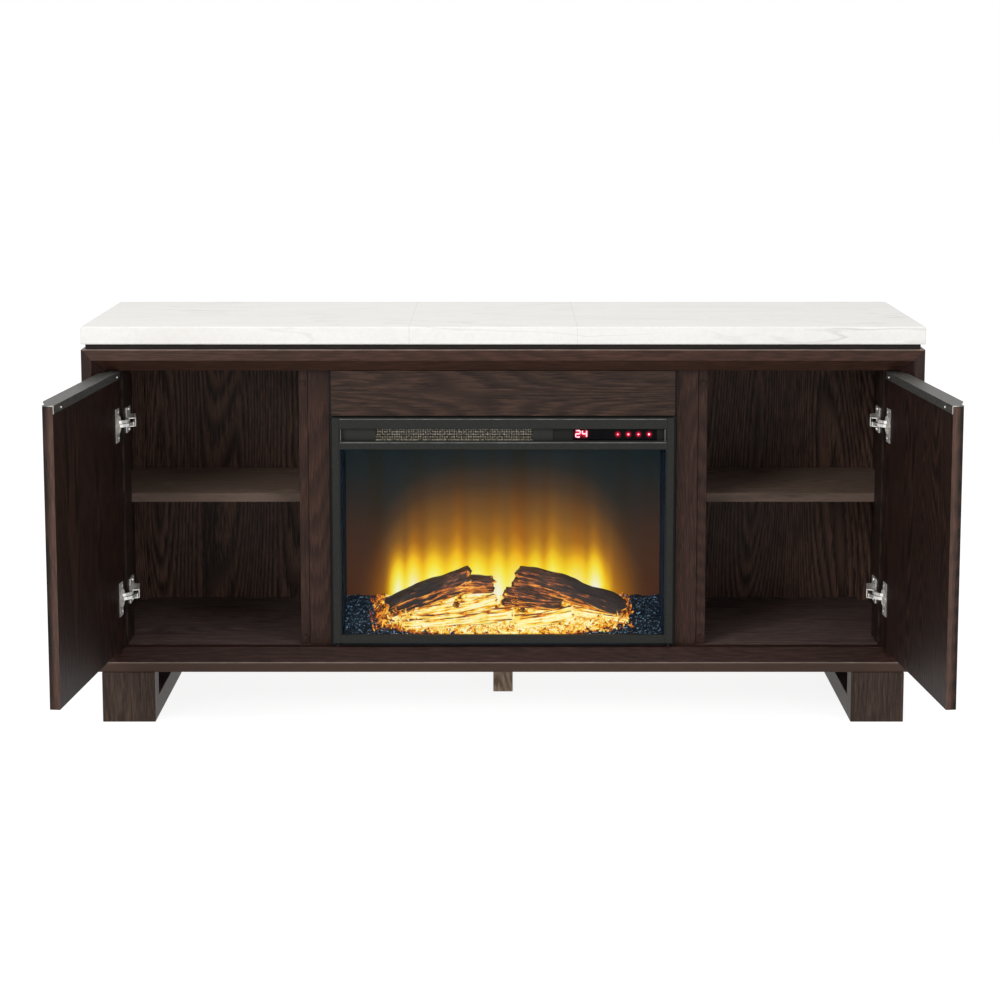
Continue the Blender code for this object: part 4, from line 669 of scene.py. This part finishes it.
# The outer tongues stand over the lamps and are the whitest
outer = add(tree, "MapRange", {
    "Value": off, "From Min": 0.110, "From Max": 0.180, "To Min": 0.86, "To Max": 1.06,
})
blaze = add(tree, "Math", {0: blaze, 1: outer}, operation="MULTIPLY")
heat = add(tree, "Math", {0: blaze, 1: haze}, operation="ADD")
heat = add(tree, "Math", {0: heat, 1: 0.8}, operation="MULTIPLY")
FLAME_STOPS = (
    (0.0, "162024"), (0.056, "262725"), (0.136, "4b3725"), (0.24, "7d5322"), (0.344, "ab711c"),
    (0.448, "d99c1c"), (0.544, "f8c722"), (0.648, "ffe438"), (0.78, "fff470"), (0.91, "fffab8"),
    (1.0, "fffdea"),
)
flame = add(tree, "ValToRGB", {0: heat}, stops=FLAME_STOPS)
# Some tongues lean to orange, and the glow at both sides is a dull red brown
lean = add(tree, "Mapping", {"Vector": place, "Location": (7.7, 0.0, 0.0), "Scale": (26.0, 0.0, 0.0)})
lean = add(tree, "TexNoise", {"Vector": lean, "Scale": 1.0, "Detail": 0.0})
lean = add(
    tree, "MapRange", {"Value": lean.outputs["Fac"], "From Min": 0.45, "From Max": 0.70, "To Max": 0.55},
)
flame = add(tree, "Mix", {0: lean, 6: flame, 7: srgb("ffdc98")}, data_type="RGBA", blend_type="MULTIPLY")
dull = add(tree, "MapRange", {
    "Value": side, "From Min": 0.195, "From Max": 0.270, "To Max": 0.85,
}, interpolation_type="SMOOTHSTEP")
sink = add(
    tree, "MapRange", {"Value": rise, "From Min": 0.0, "From Max": 0.230, "To Min": 1.0, "To Max": 0.0},
)
dull = add(tree, "Math", {0: dull, 1: sink}, operation="MULTIPLY")
flame = add(tree, "Mix", {0: dull, 6: flame.outputs[2], 7: srgb("46261a")}, data_type="RGBA")
fill(shader, {
    "Emission Color": flame.outputs[2], "Emission Strength": 1.0, "Base Color": srgb("060606"),
    "Roughness": 0.7, "Specular IOR Level": 0.1,
})
wear(screen, "flame_screen")

# The liner behind and beside it is sheet steel in matt navy paint, clouded over 11 mm
MATT = {"Roughness": 0.75, "Specular IOR Level": 0.15}
wear(mottled("matt_navy_liner", 90.0, ((0.3, "071420"), (0.7, "0c2031")), MATT, 3.0), "firebox_liner")


# Ember bed: a vacuum-formed tray of resin coals, painted black and left clear where lamps glow through it.
# Loose chips of the same resin lie at both ends of the logs and along the front.
EMBER_STOPS = (
    (0.0, "060e16"), (0.14, "14222e"), (0.24, "36140c"), (0.34, "86370c"), (0.45, "d97813"),
    (0.57, "ffb324"), (0.70, "ffdb4c"), (0.86, "fff08a"), (1.0, "fff9c8"),
)
coals, tree, shader, place = finish("glowing_resin_coals")
# Crumbs of 12 mm and less
crumb = add(tree, "TexNoise", {"Vector": place, "Scale": 85.0, "Detail": 4.0, "Roughness": 0.7})
parts = add(tree, "SeparateXYZ", {0: place})
LIT_MIDDLE_X = -0.005
side = add(tree, "Math", {0: parts.outputs["X"], 1: -LIT_MIDDLE_X}, operation="ADD")
side = add(tree, "Math", {0: side}, operation="ABSOLUTE")
middle = add(tree, "MapRange", {
    "Value": side, "From Min": 0.200, "From Max": 0.252, "To Min": 1.0, "To Max": 0.0,
}, interpolation_type="SMOOTHSTEP")
# The lit patch has an arched lower edge, 17 mm higher at its ends than in the middle
arch = add(tree, "Math", {0: side, 1: side}, operation="MULTIPLY")
arch = add(tree, "Math", {0: arch, 1: -0.36, 2: parts.outputs["Z"]}, operation="MULTIPLY_ADD")
near = add(tree, "MapRange", {
    "Value": arch, "From Min": 0.1462, "From Max": 0.1590, "To Min": 0.15, "To Max": 1.0,
})
warm = add(tree, "Math", {0: middle, 1: near}, operation="MULTIPLY")
grit = add(tree, "Math", {0: crumb.outputs["Fac"], 1: 0.5}, operation="SUBTRACT")
grit = add(tree, "Math", {0: grit, 1: 3.5}, operation="MULTIPLY")
grit = add(tree, "Math", {0: grit, 1: warm}, operation="MULTIPLY")
heat = add(tree, "Math", {0: warm, 1: 0.72, 2: grit}, operation="MULTIPLY_ADD")
tone = add(tree, "ValToRGB", {0: heat}, stops=EMBER_STOPS)
# Pale blue flecks on the black paint are painted glints of the room's light
fleck = add(tree, "TexNoise", {"Vector": place, "Scale": 240.0, "Detail": 3.0, "Roughness": 0.75})
# The tray's front lip, below the glass, is plain black
lip = add(tree, "MapRange", {"Value": parts.outputs["Z"], "From Min": 0.1425, "From Max": 0.1440})
fleck = add(tree, "Math", {0: fleck.outputs["Fac"], 1: lip}, operation="MULTIPLY")
black = add(tree, "ValToRGB", {0: fleck}, stops=((0.50, "000308"), (0.58, "0b1c2a"), (0.66, "9dc2e2")))
relief = add(tree, "Bump", {"Height": fleck, "Strength": 0.9, "Distance": 0.004})
fill(shader, {
    "Emission Color": tone, "Emission Strength": 1.0, "Base Color": black,
    "Roughness": 0.45, "Specular IOR Level": 0.22, "Normal": relief,
})
wear(coals, "ember_bed")


# Logs: moulded resin logs with deep bark, painted charcoal on top and left clear below, where lamps glow
# through. Each starts as a round bar, is bent and split into bark ridges, and has broken ends.
def log_finish(name, cool, hot, gain, stops, char):
    """The bark's depth comes from the mesh; the paint gets thinner toward the underside, and hotter."""
    made, tree, shader, place = finish(name)
    deep = add(tree, "Attribute", attribute_name="bark").outputs["Fac"]
    # Fibres 3 mm apart, on the log's own length and girth
    fibre = add(tree, "Mapping", {"Vector": add(tree, "TexCoord").outputs["UV"], "Scale": (42.0, 380.0, 1.0)})
    fibre = add(tree, "TexNoise", {
        "Vector": fibre, "Scale": 1.0, "Detail": 3.0, "Roughness": 0.6, "Distortion": 0.8,
    })
    blot = add(tree, "TexNoise", {"Vector": place, "Scale": 60.0, "Detail": 3.0, "Roughness": 0.6})
    facing = add(tree, "SeparateXYZ", {0: add(tree, "NewGeometry").outputs["Normal"]}).outputs["Z"]
    if char:
        low = add(tree, "MapRange", {
            "Value": facing, "From Min": -0.8, "From Max": 0.62, "To Min": hot, "To Max": cool,
        })
    else:
        # On glowing logs the faces that look up or down are painted cooler: painted shade outlining each log
        edge = add(tree, "Math", {0: facing, 1: 0.05}, operation="SUBTRACT")
        edge = add(tree, "Math", {0: edge}, operation="ABSOLUTE")
        low = add(tree, "MapRange", {
            "Value": edge, "From Min": 0.35, "From Max": 0.95, "To Min": hot, "To Max": cool,
        })
    heat = add(tree, "Math", {0: deep, 1: gain, 2: low}, operation="MULTIPLY_ADD")
    weave = 1.7 if char else 0.5
    heat = add(tree, "Math", {0: fibre, 1: weave, 2: heat}, operation="MULTIPLY_ADD")
    heat = add(tree, "Math", {0: blot, 1: 1.2, 2: heat}, operation="MULTIPLY_ADD")
    heat = add(tree, "Math", {0: heat, 1: weave / 2 + 0.60}, operation="SUBTRACT")
    side = add(tree, "Math", {0: add(tree, "SeparateXYZ", {0: place}).outputs["X"]}, operation="ABSOLUTE")
    burnt = add(tree, "MapRange", {
        "Value": side, "From Min": 0.100, "From Max": 0.135,
    }, interpolation_type="SMOOTHSTEP")
    over = add(tree, "MapRange", {"Value": facing, "From Min": -0.45, "From Max": 0.10})
    burnt = add(tree, "Math", {0: burnt, 1: over}, operation="MULTIPLY")
    heat = add(tree, "Math", {0: burnt, 1: -char, 2: heat}, operation="MULTIPLY_ADD")
    tone = add(tree, "ValToRGB", {0: heat}, stops=stops)
    bark = add(tree, "ValToRGB", {0: fibre}, stops=((0.35, "100907"), (0.68, "5c3d2c")))
    soot = add(tree, "Math", {0: burnt, 1: 0.75 if char else 0.0}, operation="MULTIPLY")
    bark = add(tree, "Mix", {0: soot, 6: bark, 7: srgb("101216")}, data_type="RGBA")
    relief = add(tree, "Bump", {"Height": fibre, "Strength": 0.8, "Distance": 0.003})
    fill(shader, {
        "Emission Color": tone, "Emission Strength": 1.0, "Base Color": bark.outputs[2],
        "Roughness": 0.7, "Normal": relief,
    })
    return made


RING_STEP, BACK_LIMIT = 0.0032, -0.086


def shape_log(name, start, end, radius, taper, bend, seed, made):
    """A rough log between two points, with its bark depth as an attribute and a UV map in metres."""
    start, end = Vector(start), Vector(end)
    length = (end - start).length
    around = 56
    shape = bmesh.new()
    bmesh.ops.create_cone(
        shape, cap_ends=True, segments=around, radius1=radius, radius2=radius * taper, depth=length,
    )
    sides = [e for e in shape.edges if abs(e.verts[0].co.z - e.verts[1].co.z) > length / 2]
    bmesh.ops.subdivide_edges(shape, edges=sides, cuts=int(length / RING_STEP))
    for inward, sink in ((0.18, 0.0), (0.25, 0.0014), (0.4, -0.003)):
        caps = [f for f in shape.faces if len(f.verts) == around]
        bmesh.ops.inset_individual(shape, faces=caps, thickness=radius * min(taper, 1.0) * inward, depth=sink)
    wrap = shape.loops.layers.uv.new("bark_map")
    for f in shape.faces:
        angles = [math.atan2(corner.vert.co.y, corner.vert.co.x) for corner in f.loops]
        crossing = max(angles) - min(angles) > math.pi
        for corner, angle in zip(f.loops, angles):
            whole = angle + (2 * math.pi if crossing and angle < 0 else 0)
            corner[wrap].uv = (corner.vert.co.z + seed, whole * radius)
    deep = shape.verts.layers.float.new("bark")
    for v in shape.verts:
        x, y, z = v.co
        out = max(v.co.xy.length, 1e-6)
        c, s = x / out, y / out
        along = z / length + 0.5
        lump = noise.noise(Vector((c * 1.1 + seed, s * 1.1, z * 22)))
        ridge = noise.noise(Vector((c * 3.6, s * 3.6 + seed, z * 20)))
        fine = noise.noise(Vector((c * 8.5, s * 8.5, z * 48 + seed)))
        v[deep] = 0.6 * ridge + 0.4 * fine
        reach = 1.0 + 0.20 * lump + 0.17 * ridge + 0.09 * fine
        ragged = noise.noise(Vector((c * 2.3, s * 2.3, seed))) * radius * 0.45
        v.co.x = x * reach + bend * math.sin(math.pi * along)
        v.co.y = y * reach
        v.co.z = z + ragged * (2 * along - 1) ** 7
    turn = Vector((0, 0, 1)).rotation_difference(end - start).to_matrix().to_4x4()
    bmesh.ops.transform(shape, matrix=Matrix.Translation((start + end) / 2) @ turn, verts=shape.verts)
    # None of it reaches the screen behind
    for v in shape.verts:
        v.co.y = min(v.co.y, BACK_LIMIT)
    bmesh.ops.recalc_face_normals(shape, faces=shape.faces)
    return piece_from(name, shape, made, "root", True)


CHARRED = (
    (0.0, "090606"), (0.22, "1d100b"), (0.36, "4e240f"), (0.50, "9a4c17"), (0.64, "d67620"), (0.80, "f8a430"),
    (1.0, "ffdc68"),
)
GLOWING = (
    (0.0, "351409"), (0.16, "74300c"), (0.28, "c66410"), (0.38, "f29a1a"), (0.50, "ffc732"), (0.64, "ffe05c"),
    (0.84, "fff292"), (1.0, "fffac4"),
)
charred = log_finish("charred_resin_bark", cool=0.08, hot=0.69, gain=0.62, stops=CHARRED, char=0.36)
amber = log_finish("glowing_amber_bark", cool=0.08, hot=0.86, gain=0.80, stops=GLOWING, char=0.0)
# Name, two ends, radius, taper, bend, seed and finish of each log
LOGS = (
    ("upper_left_log", (-0.212, -0.118, 0.194), (-0.062, -0.116, 0.2505), 0.0190, 1.25, -0.001, 1.3, charred),
    ("broken_stub", (-0.088, -0.119, 0.240), (-0.020, -0.119, 0.2400), 0.0180, 0.85, 0.0, 8.9, charred),
    ("upper_right_log", (0.026, -0.116, 0.2510), (0.222, -0.118, 0.188), 0.0225, 0.95, -0.008, 2.1, charred),
    ("middle_log", (0.003, -0.140, 0.221), (0.108, -0.126, 0.203), 0.0165, 0.88, 0.0, 3.7, charred),
    ("front_left_log", (-0.160, -0.132, 0.186), (-0.014, -0.130, 0.212), 0.0120, 0.9, 0.002, 4.9, amber),
    ("low_left_log", (-0.184, -0.146, 0.172), (0.016, -0.145, 0.190), 0.0125, 1.0, 0.002, 5.3, amber),
    ("front_right_log", (0.022, -0.146, 0.174), (0.128, -0.141, 0.190), 0.0135, 0.95, 0.002, 6.4, amber),
    ("end_right_log", (0.120, -0.136, 0.194), (0.232, -0.140, 0.176), 0.0090, 0.8, 0.0, 7.8, amber),
)
logs = [shape_log(*log) for log in LOGS]
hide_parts("log_set")
# Sawn-off knots face the room
KNOTS = (
    ("left_knot", (-0.087, -0.1425, 0.206), 0.0062),
    ("middle_knot", (0.021, -0.1525, 0.2185), 0.0058),
    ("right_knot", (0.036, -0.1500, 0.198), 0.0052),
)
for name, spot, girth in KNOTS:
    tip = Vector(spot) + Vector((0.001, -0.0065, 0.0015))
    shape_log(name, spot, tip, girth, 0.9, 0.0, 9.7, charred)

# The noise that roughens the chips would start from the clock without a seed
chance = random.Random(11)
noise.seed_set(11)
chips = bmesh.new()
# Left and right end, number and depth of the pile at each end and of the small chips along the front
PILES = ((-0.246, -0.150, 190, 0.014), (0.118, 0.240, 260, 0.014), (-0.195, 0.205, 420, 0.002))
BED_LIP_Y, BED_LIP_Z, BED_DEPTH, BED_RISE = -0.1641, 0.159, 0.08, 0.054
for left, right, count, depth in PILES:
    small = depth < 0.005
    for _ in range(count):
        x = chance.uniform(left, right)
        y = chance.uniform(-0.1625, -0.151) if small else chance.uniform(-0.160, -0.100)
        z = BED_LIP_Z + (y - BED_LIP_Y) / BED_DEPTH * BED_RISE + chance.uniform(0.0, depth)
        spin = Matrix.Rotation(chance.uniform(0, math.pi), 4, "Z")
        spin = spin @ Matrix.Rotation(chance.uniform(-1.4, 1.4), 4, "Y")
        long = chance.uniform(0.003, 0.007) if small else chance.uniform(0.009, 0.027)
        size = (long, chance.uniform(0.002, 0.005), chance.uniform(0.002, 0.004))
        clear = max(y, -0.1615 + long / 4)
        put = Matrix.Translation((x, clear, z)) @ spin @ Matrix.Diagonal((*size, 1.0))
        bmesh.ops.create_icosphere(chips, subdivisions=1, radius=0.5, matrix=put)
# None of them reaches the pane in front or the screen behind
FRONT_LIMIT, ROUGHNESS = -0.1636, 0.0012
for v in chips.verts:
    v.co += ROUGHNESS * noise.noise_vector(v.co * 300)
    v.co.y = min(max(v.co.y, FRONT_LIMIT), BACK_LIMIT)
embers, tree, shader, place = finish("glowing_resin_chips")
crumb = add(tree, "TexNoise", {"Vector": place, "Scale": 95.0, "Detail": 3.0, "Roughness": 0.65})
side = add(tree, "Math", {0: add(tree, "SeparateXYZ", {0: place}).outputs["X"]}, operation="ABSOLUTE")
hot = add(tree, "MapRange", {
    "Value": side, "From Min": 0.165, "From Max": 0.250, "To Min": 0.74, "To Max": 0.22,
})
grit = add(tree, "Math", {0: crumb.outputs["Fac"], 1: 0.5}, operation="SUBTRACT")
heat = add(tree, "Math", {0: grit, 1: 2.8, 2: hot}, operation="MULTIPLY_ADD")
CHIP_STOPS = (
    (0.0, "150a0c"), (0.16, "451410"), (0.32, "99400f"), (0.48, "ea8a18"), (0.64, "ffbe36"), (0.82, "ffe470"),
    (1.0, "fff8c0"),
)
tone = add(tree, "ValToRGB", {0: heat}, stops=CHIP_STOPS)
fill(shader, {
    "Emission Color": tone, "Emission Strength": 1.0, "Base Color": srgb("2a1510"),
    "Roughness": 0.7,
})
piece_from("ember_chips", chips, embers, "root")


# Working parts behind the fire: galvanised heater and motors, an aluminium blower and a green lamp board.
# They are seen only through the vents and with the casing off.
zinc, tree, shader, place = finish("galvanised_sheet")
# The zinc froze in spangles of 11 mm
spangle = add(tree, "TexVoronoi", {"Vector": place, "Scale": 90.0})
tone = add(tree, "ValToRGB", {0: spangle.outputs["Distance"]}, stops=((0.1, "84878a"), (0.8, "a2a5a8")))
fill(shader, {"Base Color": tone, "Metallic": 0.9, "Roughness": 0.42})
wear(zinc, "heater_housing", "blower_motor", "rotor_motor")

# Rolling leaves the aluminium bright, with a faint mottle of 3 mm. The board's lacquer varies over 5 mm.
ROLLED = {"Metallic": 1.0, "Roughness": 0.25}
rolled = mottled("rolled_aluminium", 300.0, ((0.3, "b8babd"), (0.7, "d2d3d5")), ROLLED)
wear(rolled, "blower_wheel", "flame_rotor")
board = mottled("green_solder_mask", 200.0, ((0.3, "123a22"), (0.7, "1c4a2e")), {"Roughness": 0.35})
wear(board, "led_strip")


# Fixings at the back: black pan-head screws hold the back panels and the casing's rear sheet.
# The power inlet has its three plated blades.
BACK_SCREW, CASING_SCREW, HEAD_LIFT = (0.0034, 0.0014), (0.0030, 0.0014), 0.0003
panel_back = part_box("left_back_panel")[1].y + HEAD_LIFT
casing_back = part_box("insert_casing")[1].y + HEAD_LIFT
heads = bmesh.new()
for side in (-1, 1):
    for x in (0.369, 0.547, 0.725):
        for z in (0.150, 0.652):
            screw_head(heads, (side * x, panel_back, z), (0, 1, 0), *BACK_SCREW)
    for z in (0.150, 0.345, 0.545):
        screw_head(heads, (side * 0.295, casing_back, z), (0, 1, 0), *CASING_SCREW)
piece_from("back_screws", heads, powder, "root", True)
blades = bmesh.new()
low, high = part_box("power_inlet")
middle = (low + high) / 2
BLADE_Y, BLADE_HALF = -0.0190, Vector((0.001, 0.004, 0.002))
for x, z in ((-0.007, -0.002), (0.007, -0.002), (0.0, 0.003)):
    spot = Vector((middle.x + x, BLADE_Y, middle.z + z))
    strip_box(blades, spot - BLADE_HALF, spot + BLADE_HALF)
piece_from("inlet_blades", blades, nickel, "root")
